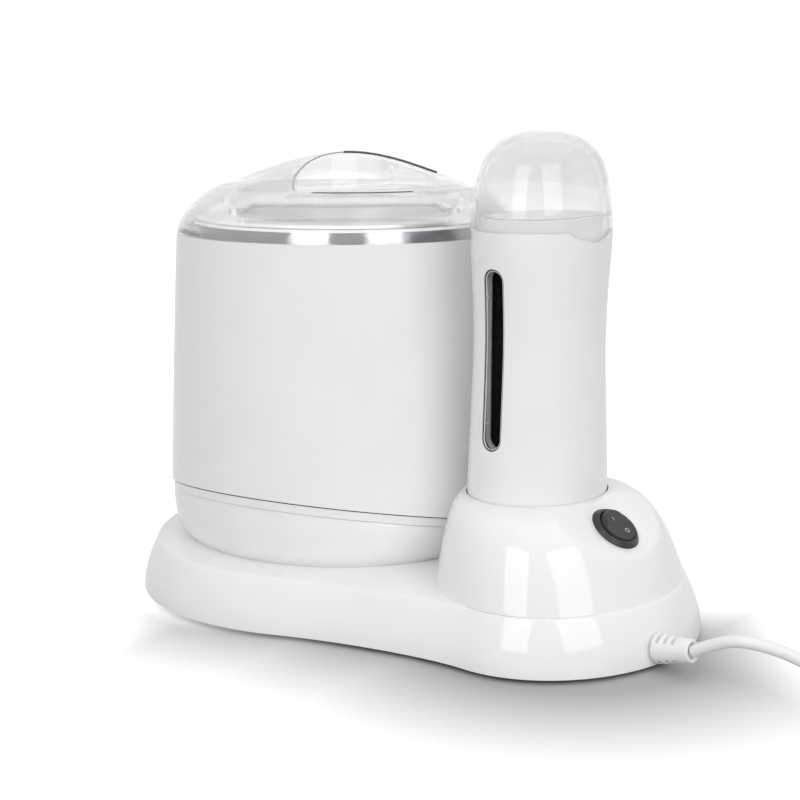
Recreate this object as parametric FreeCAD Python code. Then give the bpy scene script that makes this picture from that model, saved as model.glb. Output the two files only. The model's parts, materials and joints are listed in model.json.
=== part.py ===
import FreeCAD, Part
import math
import os
from FreeCAD import Matrix, Placement, Rotation, Vector

# Roll-on wax heater: a peanut-shaped base carries a wax pot at one end and a docked
# roll-on handpiece at the other.  Millimetres, +Z up.  The origin is the middle of the
# base's outline on the table, +X runs from the pot to the handpiece.

# ---------------------------------------------------------------- driving dimensions
CLEAR = 0.3                 # gap between separate mouldings
FIT = 0.05                  # radial clearance of pins and screws in their holes

# base
FOOT_GAP = 2.0              # lower edge of the base cover above the table
BASE_RISE = 23.5            # base cover, from its lower edge to its deck
POT_LOBE_R = 105.0          # round lobe under the pot
POT_LOBE_BACK = 91.0        # the lobe is flatter on its outer side: pot axis to its end
END_LOBE_A = 56.0           # oval lobe under the handpiece, along X
END_LOBE_B = 68.0           # and along Y
POT_TO_DOCK = 32.3          # foot of the pot shell to the handpiece axis
DOCK_TO_LOBE = 15.5         # handpiece axis to the centre of the oval lobe
LOBE_JOIN_ANGLE = 63.0      # where the waist leaves the round lobe, degrees from +X
WAIST_LEAD_POT = 30.0       # how far the waist runs on before it bends, at the pot
WAIST_LEAD_END = 20.0       # and at the oval lobe
BASE_FLARE = 7.5            # side wall leans out this much from deck to edge
FLARE_POWER = 1.7           # how late the wall curves in
BASE_WALL = 2.4
DECK_ROUND = 1.6            # rounding of the deck's edge
PLATE_THICK = 2.0
PLATE_RECESS = 0.5          # bottom plate inside the cover's edge
FOOT_R = 7.0
BOSS_R = 3.6
SCREW_R = 1.5
SCREW_HEAD_R = 2.9
SCREW_HEAD_H = 1.6
PLATE_SCREW_LEN = 11.0
POT_BOSS_CIRCLE = 80.0      # plate bosses under the pot, distance from its axis
POT_BOSS_ANGLES = (125.0, 235.0)
END_BOSSES = ((22.0, 42.0), (22.0, -42.0))      # from the oval lobe's centre
WAIST_BOSSES = ((72.0, 56.0), (72.0, -56.0))    # from the pot axis
FOOT_CIRCLE = 86.0
FOOT_ANGLES = (95.0, 265.0)
BACK_FOOT_AT = 74.0         # fifth foot, behind the pot axis
END_FEET = ((30.0, 30.0), (30.0, -30.0))

# pedestal under the handpiece
PED_RISE = 36.9             # deck to the socket's rim
PED_A_POT = 52.5            # foot of the pedestal, half length towards the pot
PED_A_END = 47.5            # half length towards the switch
PED_B = 60.5                # half width
PED_TOP_LAP = 2.3           # the dome closes this far inside the dock cup's outer face
PED_DOME_POWER = 2.86       # roundness of the dome
PED_WALL = 2.2
SCALLOP_GAP = 0.6           # pedestal clears the pot shell by this
SCALLOP_WALL = 1.6
SLOPE_ANGLE = 36.0          # the switch panel faces up and out, off vertical
SLOPE_BELOW_RIM = 10.4      # switch centre below the socket's rim
SLOPE_FROM_HAND = 41.8      # and out from the handpiece axis
SLOPE_ROUND = 3.0           # soft edge of the switch panel
DISH_R = 14.5               # shallow dish round the switch
DISH_DEPTH = 1.1

# switch
SWITCH_HOLE_R = 10.0
SWITCH_BEZEL_R = 11.3
SWITCH_BEZEL_H = 1.9
SWITCH_BODY_DEPTH = 15.0
ROCKER_R = 8.3
ROCKER_GAP = 0.35
ROCKER_PROUD = 2.2
ROCKER_DIP = 1.4            # middle of its top below its ends
ROCKER_SINK = 4.0
ROCKER_TILT = 7.0           # either way from level
ROCKER_PIVOT_DROP = 1.2     # pivot below the bezel's seat
SWITCH_TURN = 26.0          # the switch sits turned in its round hole
PIVOT_R = 1.0
TAB_LEN = 7.0
TAB_WIDTH = 4.8
TAB_THICK = 0.8

# dock
DOCK_DEPTH = 19.4           # the handpiece stands this deep in its dock
DOCK_FLOOR = 2.0
DOCK_WALL = 1.3
DOCK_POST_R = 3.0
DOCK_POSTS = ((11.0, 12.5), (-11.0, 12.5), (-11.0, -12.5), (11.0, -12.5))
DOCK_GAP = 0.5              # handpiece in the dock cup
CONTACT_BLOCK = (18.0, 9.0, 4.0)
CONTACT_PITCH = 10.0
CONTACT_SINK = 3.0          # block below the dock's floor
CONTACT_PIN_R = 1.2
CONTACT_PIN_PROUD = 0.6
CONTACT_TAIL = 7.0

# pot housing
POT_H = 143.5               # deck to rim
POT_R_RIM = 79.8
POT_R_FOOT = 86.2
POT_WALL = 2.4
BOWL_INSET = 1.8            # top of the bowl inside the foot of the shell
BOWL_TAPER = 5.4            # and it draws in this much more to its own foot
BOWL_RISE = 19.5
SEAM_MID = 13.0             # slanted seam above the deck, at the pot axis
SEAM_TILT = 12.1
SEAM_TURN = 11.8            # high side of the seam, from -Y towards +X
BAND_H = 4.6
BAND_GROOVE = 0.25
LEDGE_DROP = 5.0            # inner ledge below the rim, carries the collar
LEDGE_H = 3.0
LEDGE_LAP = 1.0             # ledge outside the collar's ring
COLLAR_T = 2.4
COLLAR_RISE = 5.6           # raised ring of the collar above the rim
COLLAR_STEP = 7.8           # ring of the collar inside the shell's rim
WELL_FLANGE_W = 5.9
WELL_FLANGE_T = 1.6
WELL_WALL = 1.5
WELL_GAP = 0.6
WELL_ROUND = 6.0
COLLAR_ROUND = 1.2
POT_SCREW_CIRCLE = 52.0
POT_SCREW_COUNT = 3
POT_SCREW_LEN = 12.0
POT_BOSS_H = 10.0
HEATER_T = 3.0
HEATER_H = 34.0
HEATER_FROM_FLOOR = 6.0
INSULATION_T = 8.0
INSULATION_H = 62.0
STAT_R = 8.0
STAT_H = 7.0
STAT_OFF = 20.0
STAT_STRAP = (25.0, 7.0, 1.2)
FUSE_R = 2.2
FUSE_LEN = 16.0
LEAD_HOLE_R = 7.0
LEAD_HOLE_AT = 24.0         # switch leads pass the deck here, from the oval lobe's centre

# inner pot with its bail
PAN_TAPER = 2.5             # pan narrower at its floor
PAN_DEPTH = 66.0
PAN_WALL = 1.5
PAN_ROUND = 3.0
PAN_FLANGE_W = 18.0
PAN_FLANGE_STEP = 2.0       # flange inside the collar's ring
BAIL_WIRE_R = 1.2
BAIL_STEP = 4.5             # legs of the bail inside the pan's radius
BAIL_LEN = 46.0             # pivots to the grip
BAIL_CORNER = 6.0
BAIL_PIN_BEND = 2.0
BAIL_PIN_PROUD = 1.6        # pin ends show beyond their ears
BAIL_LIFT = 1.5             # pivots above the flange
EAR_STEP = 0.5              # middle of the ear outside the pan's radius
EAR_T = 2.0
EAR_WIDTH = 7.0
EAR_RISE = 4.2
BAIL_TURN = 45.0            # the grip lies folded to the back

# lid
LID_STEP = 0.5              # skirt inside the shell's rim
LID_DRAWN_R = 79.3          # the dome's line is drawn for this skirt and follows its real radius
LID_GAP = 0.3
LID_WALL = 2.0
LID_DOME = ((78.6, 3.9), (77.2, 6.6), (74.4, 10.6), (70.6, 14.4), (66.7, 17.7), (59.0, 21.7),
            (51.3, 24.4), (43.8, 27.0), (28.5, 32.3), (14.0, 35.6), (7.0, 36.4))
LID_RISE = 36.7
LID_LOCATOR_H = 2.2
LID_LOCATOR_T = 1.6
SCOOP_R = 56.0              # two round finger scoops leave a waisted grip between them
SCOOP_AT = 58.0
SCOOP_WALL = 2.5
SHELF_T = 2.2
SCOOP_TURN = -10.0          # direction of the scoops, from +X
SHELF_RISE = 21.0           # flat floor of the scoops above the rim

# handpiece
HAND_A = 28.5               # half length of its oval section, along X
HAND_B = 33.9               # half width, along Y
HAND_WALL = 2.2
HAND_PROFILE = ((0.0, 0.64), (1.6, 0.735), (4.6, 0.845), (8.6, 0.93), (13.0, 0.98), (19.4, 1.0),
                (35.0, 0.987), (64.0, 0.95), (85.0, 0.93), (102.0, 0.94), (116.0, 0.963),
                (129.0, 0.986), (133.2, 0.987))
HAND_FOOT_H = 5.0
NECK_H = 5.4
NECK_ROOT = 9.0             # how far the neck reaches down inside the body
CAP_PROFILE = ((2.5, 0.985), (9.5, 0.964), (16.3, 0.934), (23.0, 0.884), (26.2, 0.851), (29.6, 0.80),
               (32.9, 0.716), (36.2, 0.597), (39.5, 0.363), (40.35, 0.17))
CAP_RISE = 40.6
CAP_WALL = 1.8
CAP_GAP = 0.3
TAB_DROP = 4.2              # thumb tab of the cap, below its edge
TAB_RADIUS = 26.0
WINDOW_HALF = 5.2
WINDOW_LOW = 41.4           # lower end of the window above the handpiece's foot
WINDOW_HIGH = 118.4
WINDOW_SINK = 0.8
BAY_HALF_X = 16.6           # cartridge 32 x 52 with room
BAY_HALF_Y = 26.6
BAY_WALL = 1.1
BAY_DEPTH = 118.0
NECK_PLATE_T = 2.0
STAND_PLATE = (26.0, 34.0, 3.0)
STAND_POST_R = 3.0
STAND_POSTS = ((9.5, 12.5), (-9.5, 12.5), (-9.5, -12.5), (9.5, -12.5))
PTC_SIZE = (3.0, 24.0, 70.0)
HAND_STAT_R = 5.0
HAND_STAT_T = 3.0
FOOT_PLATE_T = 0.8
HAND_SCREW_R = 1.2
HAND_SCREW_LEN = 10.0
FOOT_SCREW_HEAD_R = 2.3
FOOT_SCREW_SINK = 1.8
HAND_SCREW_AT = 15.5
HAND_BOSS_R = 3.0
HAND_BOSS_H = 12.0
HAND_RIB = (2.0, 13.0, 6.0)

# cord
CORD_D = 5.1
CORD_Y = -9.0
CORD_RISE = 6.6             # centre of the cord exit above the cover's lower edge
RELIEF_TILT = 10.0          # tipped up
RELIEF_TURN = 0.0           # and turned back
RELIEF_LEN = 17.3           # outside the wall
RELIEF_INSIDE = 6.0
RELIEF_NECK_R = 3.6
RELIEF_FLANGE_R = 4.8
RELIEF_COLLAR_R = 6.4
RELIEF_COLLAR_T = 3.0
RELIEF_RIBS = 3
RELIEF_RIB_SHARE = 0.6      # how much of the pitch a rib fills
RELIEF_TIP_R = 4.9
RELIEF_CORE_R = 3.2
TERMINAL_BLOCK = (14.0, 28.0, 10.0)
TERMINAL_OUT = 12.0
CLAMP_OUT = 16.0
CLAMP_LEN = 7.0
CLAMP_WIDTH = 18.0
CLAMP_OVER = 3.4
COIL_TURN_R = 28.0          # middle of the turns
PLUG_LEN = 34.0
PLUG_WIDTH = 26.0
PLUG_THICK = 13.6
PLUG_ROUND = 5.0
PLUG_SLEEVE = 18.0
PLUG_PIN_ROOT = 6.0
PLUG_PIN_R = 2.0
PLUG_PIN_LEN = 19.0
PLUG_PITCH = 18.6

# ---------------------------------------------------------------- derived places
LENGTH = POT_LOBE_BACK + POT_R_FOOT + POT_TO_DOCK + DOCK_TO_LOBE + END_LOBE_A
POT_X = POT_LOBE_BACK - LENGTH / 2
HAND_X = POT_X + POT_R_FOOT + POT_TO_DOCK
LOBE_X = HAND_X + DOCK_TO_LOBE
BOWL_R_TOP = POT_R_FOOT - BOWL_INSET
BOWL_R_FOOT = BOWL_R_TOP - BOWL_TAPER
COLLAR_RING_R = POT_R_RIM - COLLAR_STEP
LEDGE_R = COLLAR_RING_R + LEDGE_LAP
PAN_FLANGE_R = COLLAR_RING_R - PAN_FLANGE_STEP
PAN_R = PAN_FLANGE_R - PAN_FLANGE_W
PAN_R_FLOOR = PAN_R - PAN_TAPER
BAIL_HALF = PAN_R - BAIL_STEP
EAR_AT = PAN_R + EAR_STEP
LID_SKIRT_R = POT_R_RIM - LID_STEP
EDGE_Z = FOOT_GAP
DECK_Z = EDGE_Z + BASE_RISE
DECK_UNDER = DECK_Z - BASE_WALL
PLATE_Z = EDGE_Z + PLATE_RECESS
PLATE_TOP = PLATE_Z + PLATE_THICK
RIM_Z = DECK_Z + POT_H
SOCKET_Z = DECK_Z + PED_RISE
HAND_Z = SOCKET_Z - DOCK_DEPTH
DOCK_Z = HAND_Z - CLEAR - DOCK_FLOOR
CAP_Z = HAND_Z + HAND_PROFILE[-1][0]
OVAL = HAND_A / HAND_B
UP = Vector(0, 0, 1)
parts = {}


def keep(name, shape):
    """Register one piece, or a group of identical pieces, under its node name."""
    parts[name] = shape
    return shape


# ---------------------------------------------------------------- helpers
def cylinder(r, h, at, axis=UP):
    return Part.makeCylinder(r, h, Vector(*at), Vector(*axis))


def box(sx, sy, sz, centre_x, centre_y, low_z):
    return Part.makeBox(sx, sy, sz, Vector(centre_x - sx / 2, centre_y - sy / 2, low_z))


def revolve(points, x=0.0):
    """Solid of revolution about the vertical axis at x, from straight-sided (r, z) points."""
    path = [Vector(r, 0, z) for r, z in points]
    face = Part.Face(Part.makePolygon(path + [path[0]]))
    solid = face.revolve(Vector(0, 0, 0), UP, 360)
    solid.translate(Vector(x, 0, 0))
    return solid


def curve(points):
    spline = Part.BSplineCurve()
    spline.interpolate([Vector(r, 0, z) for r, z in points])
    return spline.toShape()


def line_rz(start, end):
    return Part.makeLine(Vector(start[0], 0, start[1]), Vector(end[0], 0, end[1]))


def inward(points, wall):
    """The (r, z) line that runs one wall thickness inside an outer line."""
    moved = []
    for i, (r, z) in enumerate(points):
        before = points[max(i - 1, 0)]
        after = points[min(i + 1, len(points) - 1)]
        dr, dz = after[0] - before[0], after[1] - before[1]
        size = math.hypot(dr, dz)
        moved.append((max(r - wall * dz / size, 0.0), z + wall * dr / size))
    return moved


def revolve_curved(outer, inner=None):
    """Revolve a smooth outer line.  With an inner line it is a shell, else it is solid."""
    first, last = outer[0], outer[-1]
    edges = [curve(outer)]
    if inner:
        edges.append(curve(inner))
        if last != inner[-1]:
            edges.append(Part.makeLine(Vector(last[0], 0, last[1]), Vector(inner[-1][0], 0, inner[-1][1])))
        edges.append(Part.makeLine(Vector(inner[0][0], 0, inner[0][1]), Vector(first[0], 0, first[1])))
    else:
        if last[0] > 0:
            edges.append(Part.makeLine(Vector(last[0], 0, last[1]), Vector(0, 0, last[1])))
        edges.append(Part.makeLine(Vector(0, 0, last[1]), Vector(0, 0, first[1])))
        edges.append(Part.makeLine(Vector(0, 0, first[1]), Vector(first[0], 0, first[1])))
    wire = Part.Wire(Part.__sortEdges__(edges))
    return Part.Face(wire).revolve(Vector(0, 0, 0), UP, 360)


def oval(solid):
    """Squeeze a round handpiece form along X to its oval section and stand it on its axis."""
    squeeze = Matrix()
    squeeze.scale(OVAL, 1, 1)
    moved = solid.transformGeometry(squeeze)
    moved.translate(Vector(HAND_X, 0, 0))
    return moved


def oval_face_prism(a, b, low, high):
    """Upright prism with an oval plan, a along X and b along Y, on the handpiece axis."""
    centre = Vector(HAND_X, 0, low)
    ring = Part.Ellipse(centre + Vector(0, b, 0), centre + Vector(a, 0, 0), centre)
    return Part.Face(Part.Wire(ring.toShape())).extrude(Vector(0, 0, high - low))


def hand_loft(inset, low=None, high=None, cut_at=None):
    """The handpiece's oval form, drawn in by inset.  low and high move its lowest and
    highest ring, and with cut_at it ends at that height instead."""
    levels = [[HAND_Z + h, g] for h, g in HAND_PROFILE]
    if cut_at is not None:
        levels = [level for level in levels if level[0] < min(cut_at, SOCKET_Z) - 1.0]
        levels.append([cut_at, 1.0])
    if low is not None:
        levels[0][0] = low
    if high is not None:
        levels[-1][0] = high
    rings = []
    for z, g in levels:
        centre = Vector(HAND_X, 0, z)
        a, b = HAND_A * g - inset, HAND_B * g - inset
        ring = Part.Ellipse(centre + Vector(0, b, 0), centre + Vector(a, 0, 0), centre)
        rings.append(Part.Wire(ring.toShape()))
    return Part.makeLoft(rings, True, False)


def stadium(half_x, half_y, low, high, x):
    """Upright prism with a stadium plan, longer along Y."""
    side = half_y - half_x
    left, right = x - half_x, x + half_x
    wire = Part.Wire([
        Part.makeLine(Vector(right, -side, low), Vector(right, side, low)),
        Part.Arc(Vector(right, side, low), Vector(x, half_y, low), Vector(left, side, low)).toShape(),
        Part.makeLine(Vector(left, side, low), Vector(left, -side, low)),
        Part.Arc(Vector(left, -side, low), Vector(x, -half_y, low), Vector(right, -side, low)).toShape(),
    ])
    return Part.Face(wire).extrude(Vector(0, 0, high - low))


def round_path(points):
    """Straight runs joined by tangent arcs, each arc as large as its two runs allow."""
    corners = [Vector(*p) for p in points]
    edges = []
    radii = []
    start = corners[0]
    for before, corner, after in zip(corners, corners[1:], corners[2:]):
        come = before - corner
        leave = after - corner
        reach = 0.45 * min(come.Length, leave.Length)
        come.normalize()
        leave.normalize()
        half_turn = (math.pi - come.getAngle(leave)) / 2
        radii.append(reach / math.tan(half_turn))
        touch_in = corner + come * reach
        touch_out = corner + leave * reach
        bisector = come + leave
        bisector.normalize()
        middle = corner + bisector * (radii[-1] / math.cos(half_turn) - radii[-1])
        edges.append(Part.LineSegment(start, touch_in).toShape())
        edges.append(Part.Arc(touch_in, middle, touch_out).toShape())
        start = touch_out
    edges.append(Part.LineSegment(start, corners[-1]).toShape())
    return Part.Wire(edges), radii


def tube(points, r, report=None):
    path, radii = round_path(points)
    start = Vector(*points[0])
    direction = Vector(*points[1]) - start
    ring = Part.Wire(Part.Circle(start, direction, r).toShape())
    solid = path.makePipeShell([ring], True, False)
    if report:
        share = solid.Volume / (math.pi * r * r * path.Length)
        print(report, "length", round(path.Length, 1), "radii", [round(v, 1) for v in radii],
              "volume share", round(share, 4))
    return solid


def joined(first, *others):
    whole = first.fuse(list(others)).removeSplitter()
    return whole


def group(shapes):
    return Part.makeCompound(shapes)


def screw(at, length, axis=UP, r=SCREW_R, head_r=SCREW_HEAD_R, head_h=SCREW_HEAD_H):
    """Pan-head screw.  at is where the head meets its seat, axis points along the shank."""
    direction = Vector(*axis)
    head = cylinder(head_r, head_h, Vector(*at) - direction * head_h, axis)
    shank = cylinder(r, length, at, axis)
    slot = Part.makeBox(2 * head_r, head_h / 3, head_h / 2)
    slot.translate(Vector(-head_r, -head_h / 6, -head_h))
    slot.Placement = Placement(Vector(*at), Rotation(UP, direction)).multiply(slot.Placement)
    return joined(head, shank).cut(slot)


def polar(x, r, angle):
    return (x + r * math.cos(math.radians(angle)), r * math.sin(math.radians(angle)))


# ---------------------------------------------------------------- base outline
def outline(inset, z):
    """Peanut outline at height z, drawn in by inset."""
    r = POT_LOBE_R - inset
    a, b = END_LOBE_A - inset, END_LOBE_B - inset
    join = math.radians(LOBE_JOIN_ANGLE)
    centre = Vector(LOBE_X, 0, z)
    edges = []
    for side in (1, -1):
        leave = Vector(POT_X + r * math.cos(join), side * r * math.sin(join), z)
        arrive = Vector(LOBE_X, side * b, z)
        waist = Part.BezierCurve()
        waist.setPoles([
            leave,
            leave + Vector(math.sin(join), -side * math.cos(join), 0) * WAIST_LEAD_POT,
            arrive - Vector(WAIST_LEAD_END, 0, 0),
            arrive,
        ])
        edges.append(waist.toShape())
        middle = (join + math.pi / 2) / 2
        over = Vector(POT_X + r * math.cos(middle), side * r * math.sin(middle), z)
        edges.append(Part.Arc(Vector(POT_X, side * r, z), over, leave).toShape())
    pot_centre = Vector(POT_X, 0, z)
    back_end = pot_centre - Vector(POT_LOBE_BACK - inset, 0, 0)
    back = Part.Ellipse(pot_centre + Vector(0, r, 0), back_end, pot_centre)
    edges.append(back.toShape(0, math.pi))
    nose = Part.Ellipse(centre + Vector(0, b, 0), centre + Vector(a, 0, 0), centre)
    edges.append(nose.toShape(0, math.pi))
    return Part.Wire(Part.__sortEdges__(edges))


def flare(height):
    """How far the side wall has leaned in at this height above the cover's lower edge."""
    return BASE_FLARE * (max(height, 0.0) / BASE_RISE) ** FLARE_POWER


def base_form(wall, low, high):
    """Solid inside the base's side wall, wall thickness in, between two heights."""
    steps = 6
    sections = []
    for i in range(steps + 1):
        z = low + (high - low) * i / steps
        sections.append(outline(flare(z - EDGE_Z) + wall, z))
    return Part.makeLoft(sections, True, False)


boss_places = [polar(POT_X, POT_BOSS_CIRCLE, angle) for angle in POT_BOSS_ANGLES]
boss_places += [(LOBE_X + dx, dy) for dx, dy in END_BOSSES]
boss_places += [(POT_X + dx, dy) for dx, dy in WAIST_BOSSES]
foot_places = [polar(POT_X, FOOT_CIRCLE, angle) for angle in FOOT_ANGLES]
foot_places.append((POT_X - BACK_FOOT_AT, 0.0))
foot_places += [(LOBE_X + dx, dy) for dx, dy in END_FEET]
pot_screw_places = [polar(POT_X, POT_SCREW_CIRCLE, 360.0 * i / POT_SCREW_COUNT + 30.0)
                    for i in range(POT_SCREW_COUNT)]

# cord exit: the wall's outer face at the cord's height and offset
exit_z = EDGE_Z + CORD_RISE
wall_in = flare(CORD_RISE)
exit_x = LOBE_X + (END_LOBE_A - wall_in) * math.sqrt(1 - (CORD_Y / (END_LOBE_B - wall_in)) ** 2)
exit_at = Vector(exit_x, CORD_Y, exit_z)
tilt = math.radians(RELIEF_TILT)
turn_in = math.radians(RELIEF_TURN)
exit_dir = Vector(math.cos(tilt) * math.cos(turn_in), math.cos(tilt) * math.sin(turn_in), math.sin(tilt))


def make_base():
    cover = base_form(0.0, EDGE_Z, DECK_Z)
    rim_edges = [e for e in cover.Edges if e.BoundBox.ZMin > DECK_Z - 0.01]
    cover = cover.makeFillet(DECK_ROUND, rim_edges)
    cover = cover.cut(base_form(BASE_WALL, EDGE_Z - 1.0, DECK_UNDER))
    bosses = [cylinder(BOSS_R, DECK_UNDER - PLATE_TOP + 0.5, (x, y, PLATE_TOP)) for x, y in boss_places]
    cover = joined(cover, *bosses)
    holes = [cylinder(SCREW_R + FIT, PLATE_SCREW_LEN + 1.0, (x, y, PLATE_TOP)) for x, y in boss_places]
    holes += [cylinder(SCREW_R + FIT, 2 * BASE_WALL, (x, y, DECK_UNDER - 1.0)) for x, y in pot_screw_places]
    holes.append(cylinder(LEAD_HOLE_R, 2 * BASE_WALL, (POT_X, 0, DECK_UNDER - 1.0)))
    holes.append(cylinder(LEAD_HOLE_R, 2 * BASE_WALL, (LOBE_X + LEAD_HOLE_AT, 0, DECK_UNDER - 1.0)))
    holes.append(cylinder(LEAD_HOLE_R, 2 * BASE_WALL, (HAND_X, 0, DECK_UNDER - 1.0)))
    relief_from = exit_at - exit_dir * RELIEF_INSIDE
    holes.append(cylinder(RELIEF_NECK_R + FIT, 2 * RELIEF_INSIDE, relief_from, exit_dir))
    keep("base_cover", cover.cut(group(holes)))

    plate_wire = outline(BASE_WALL + flare(PLATE_RECESS + PLATE_THICK) + CLEAR, PLATE_Z)
    plate = Part.Face(plate_wire).extrude(Vector(0, 0, PLATE_THICK))
    plate_holes = [cylinder(SCREW_R + FIT, 3 * PLATE_THICK, (x, y, 0)) for x, y in boss_places]
    notch_from = exit_at - exit_dir * (RELIEF_INSIDE + CLEAR)
    plate_holes.append(cylinder(RELIEF_FLANGE_R + CLEAR, RELIEF_INSIDE + BASE_WALL, notch_from, exit_dir))
    keep("base_plate", plate.cut(group(plate_holes)))
    keep("rubber_feet", group([cylinder(FOOT_R, PLATE_Z, (x, y, 0)) for x, y in foot_places]))
    keep("plate_screws", group([screw((x, y, PLATE_Z), PLATE_SCREW_LEN) for x, y in boss_places]))


# ---------------------------------------------------------------- pedestal
def dome_section(width, low_a_pot, low_a_end, low_b, top_a, top_b, base_z, rise):
    """One oval ring of the pedestal's dome.  width is 1 at the foot and 0 at the rim."""
    z = base_z + rise * (1 - width ** PED_DOME_POWER)
    x = HAND_X + (LOBE_X - HAND_X) * width
    b = top_b + (low_b - top_b) * width
    centre = Vector(x, 0, z)
    halves = []
    for direction, low_a in ((1, low_a_end), (-1, low_a_pot)):
        a = top_a + (low_a - top_a) * width
        side, tip = Vector(0, direction * b, 0), Vector(direction * a, 0, 0)
        ring = Part.Ellipse(centre + side, centre + tip, centre)
        halves.append(ring.toShape(0, math.pi))
    return Part.Wire(Part.__sortEdges__(halves))


def dome(wall):
    """Pedestal dome, wall thickness inside its outer face, without the switch panel."""
    top_a = HAND_A + DOCK_GAP + DOCK_WALL - PED_TOP_LAP - wall
    top_b = HAND_B + DOCK_GAP + DOCK_WALL - PED_TOP_LAP - wall
    low = DECK_Z if wall == 0 else DECK_Z - 1.0
    rise = SOCKET_Z - wall - low
    widths = (1.0, 0.93, 0.84, 0.74, 0.62, 0.48, 0.3, 0.0)
    rings = [dome_section(w, PED_A_POT - wall, PED_A_END - wall, PED_B - wall, top_a, top_b, low, rise)
             for w in widths]
    return Part.makeLoft(rings, True, False)


slope = math.radians(SLOPE_ANGLE)
panel_out = Vector(math.sin(slope), 0, math.cos(slope))
panel_down = Vector(math.cos(slope), 0, -math.sin(slope))
switch_at = Vector(HAND_X + SLOPE_FROM_HAND, 0, SOCKET_Z - SLOPE_BELOW_RIM)
SIZE_BIG = 2 * LENGTH


def above_panel(offset):
    """Everything outside the switch panel's plane, moved out by offset."""
    block = Part.makeBox(SIZE_BIG, SIZE_BIG, SIZE_BIG, Vector(-SIZE_BIG / 2, -SIZE_BIG / 2, 0))
    block.Placement = Placement(switch_at + panel_out * (DISH_DEPTH + offset), Rotation(UP, panel_out))
    return block


def make_pedestal():
    socket = oval_face_prism(HAND_A + DOCK_GAP + DOCK_WALL + FIT, HAND_B + DOCK_GAP + DOCK_WALL + FIT,
                             DECK_Z - 1.0, SOCKET_Z + 5.0)
    body = dome(0.0).cut(above_panel(0.0)).cut(socket)
    crease = []
    for edge in body.Edges:
        middle = edge.valueAt((edge.FirstParameter + edge.LastParameter) / 2)
        height = (middle - switch_at).dot(panel_out) - DISH_DEPTH
        if abs(height) < 0.01 and edge.Length > PED_B:
            crease.append(edge)
    body = body.makeFillet(SLOPE_ROUND, crease)
    room = dome(PED_WALL).cut(above_panel(-PED_WALL))
    scallop_r = POT_R_FOOT + SCALLOP_GAP
    pot_side = cylinder(scallop_r, SIZE_BIG, (POT_X, 0, 0))
    room = room.cut(cylinder(scallop_r + SCALLOP_WALL, SIZE_BIG, (POT_X, 0, 0)))
    dish = Part.makeCone(SWITCH_BEZEL_R + FIT, DISH_R, DISH_DEPTH, switch_at, panel_out)
    hole = cylinder(SWITCH_HOLE_R, 12.0, switch_at - panel_out * 6.0, panel_out)
    above_dish = cylinder(DISH_R, 4.0, switch_at + panel_out * DISH_DEPTH, panel_out)
    body = body.cut(room).cut(pot_side).cut(dish).cut(above_dish).cut(hole)
    keep("pedestal", body)


# ---------------------------------------------------------------- switch
def on_panel(shape):
    """Place a switch piece that is modelled upright at the origin."""
    turn = Rotation(UP, SWITCH_TURN)
    face = Rotation(panel_down, Vector(0, 1, 0), panel_out, "ZXY")
    shape.Placement = Placement(switch_at, face.multiply(turn)).multiply(shape.Placement)
    return shape


def make_switch():
    room_r = ROCKER_R + ROCKER_GAP
    bezel = Part.makeCone(SWITCH_BEZEL_R, room_r + 0.9, SWITCH_BEZEL_H)
    body = cylinder(SWITCH_HOLE_R - FIT, SWITCH_BODY_DEPTH, (0, 0, -SWITCH_BODY_DEPTH))
    body = joined(bezel, body)
    room = cylinder(room_r, SWITCH_BEZEL_H + ROCKER_SINK + 2.5, (0, 0, -ROCKER_SINK - 2.5))
    pivot_z = -ROCKER_PIVOT_DROP
    pivot_hole = cylinder(PIVOT_R + FIT, 2 * SWITCH_HOLE_R, (0, -SWITCH_HOLE_R, pivot_z), (0, 1, 0))
    keep("switch_body", on_panel(body.cut(room).cut(pivot_hole)))

    span = 2 * (SWITCH_HOLE_R - 0.4)
    pin = cylinder(PIVOT_R, span, (0, -span / 2, pivot_z), (0, 1, 0))
    keep("switch_pivot", on_panel(pin))

    # the rocker's top is two shallow flats that meet over the pivot
    rocker = cylinder(ROCKER_R, SWITCH_BEZEL_H + ROCKER_PROUD + ROCKER_SINK, (0, 0, -ROCKER_SINK))
    top = SWITCH_BEZEL_H + ROCKER_PROUD - ROCKER_DIP
    wide = 4 * ROCKER_R
    for side in (1, -1):
        flat = Part.makeBox(wide, wide, wide, Vector(-wide / 2, -wide / 2, 0))
        flat.Placement = Placement(Vector(0, 0, top), Rotation(Vector(0, 1, 0), -side * ROCKER_TILT))
        half = Part.makeBox(wide, wide, wide, Vector(0 if side > 0 else -wide, -wide / 2, -wide / 2))
        rocker = rocker.cut(flat.common(half))
    # rounded sides keep it clear of its well as it tips
    ball = Part.makeSphere(ROCKER_R, Vector(0, 0, pivot_z))
    keep_top = cylinder(ROCKER_R, 20, (0, 0, pivot_z))
    rocker = rocker.common(joined(ball, keep_top))
    top_ball = Part.makeSphere(math.hypot(ROCKER_R, top - pivot_z) - 0.25, Vector(0, 0, pivot_z))
    rocker = rocker.common(top_ball)
    bore = cylinder(PIVOT_R + FIT, 3 * ROCKER_R, (0, -1.5 * ROCKER_R, pivot_z), (0, 1, 0))
    rocker = rocker.cut(bore)
    rocker.rotate(Vector(0, 0, pivot_z), Vector(0, 1, 0), ROCKER_TILT)
    keep("switch_rocker", on_panel(rocker))

    tabs = []
    for place in (-6.0, 0.0, 6.0):
        tab = Part.makeBox(TAB_THICK, TAB_WIDTH, TAB_LEN)
        tab.translate(Vector(place - TAB_THICK / 2, -TAB_WIDTH / 2, -SWITCH_BODY_DEPTH - TAB_LEN))
        tabs.append(tab)
    keep("switch_tabs", on_panel(group(tabs)))


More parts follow.
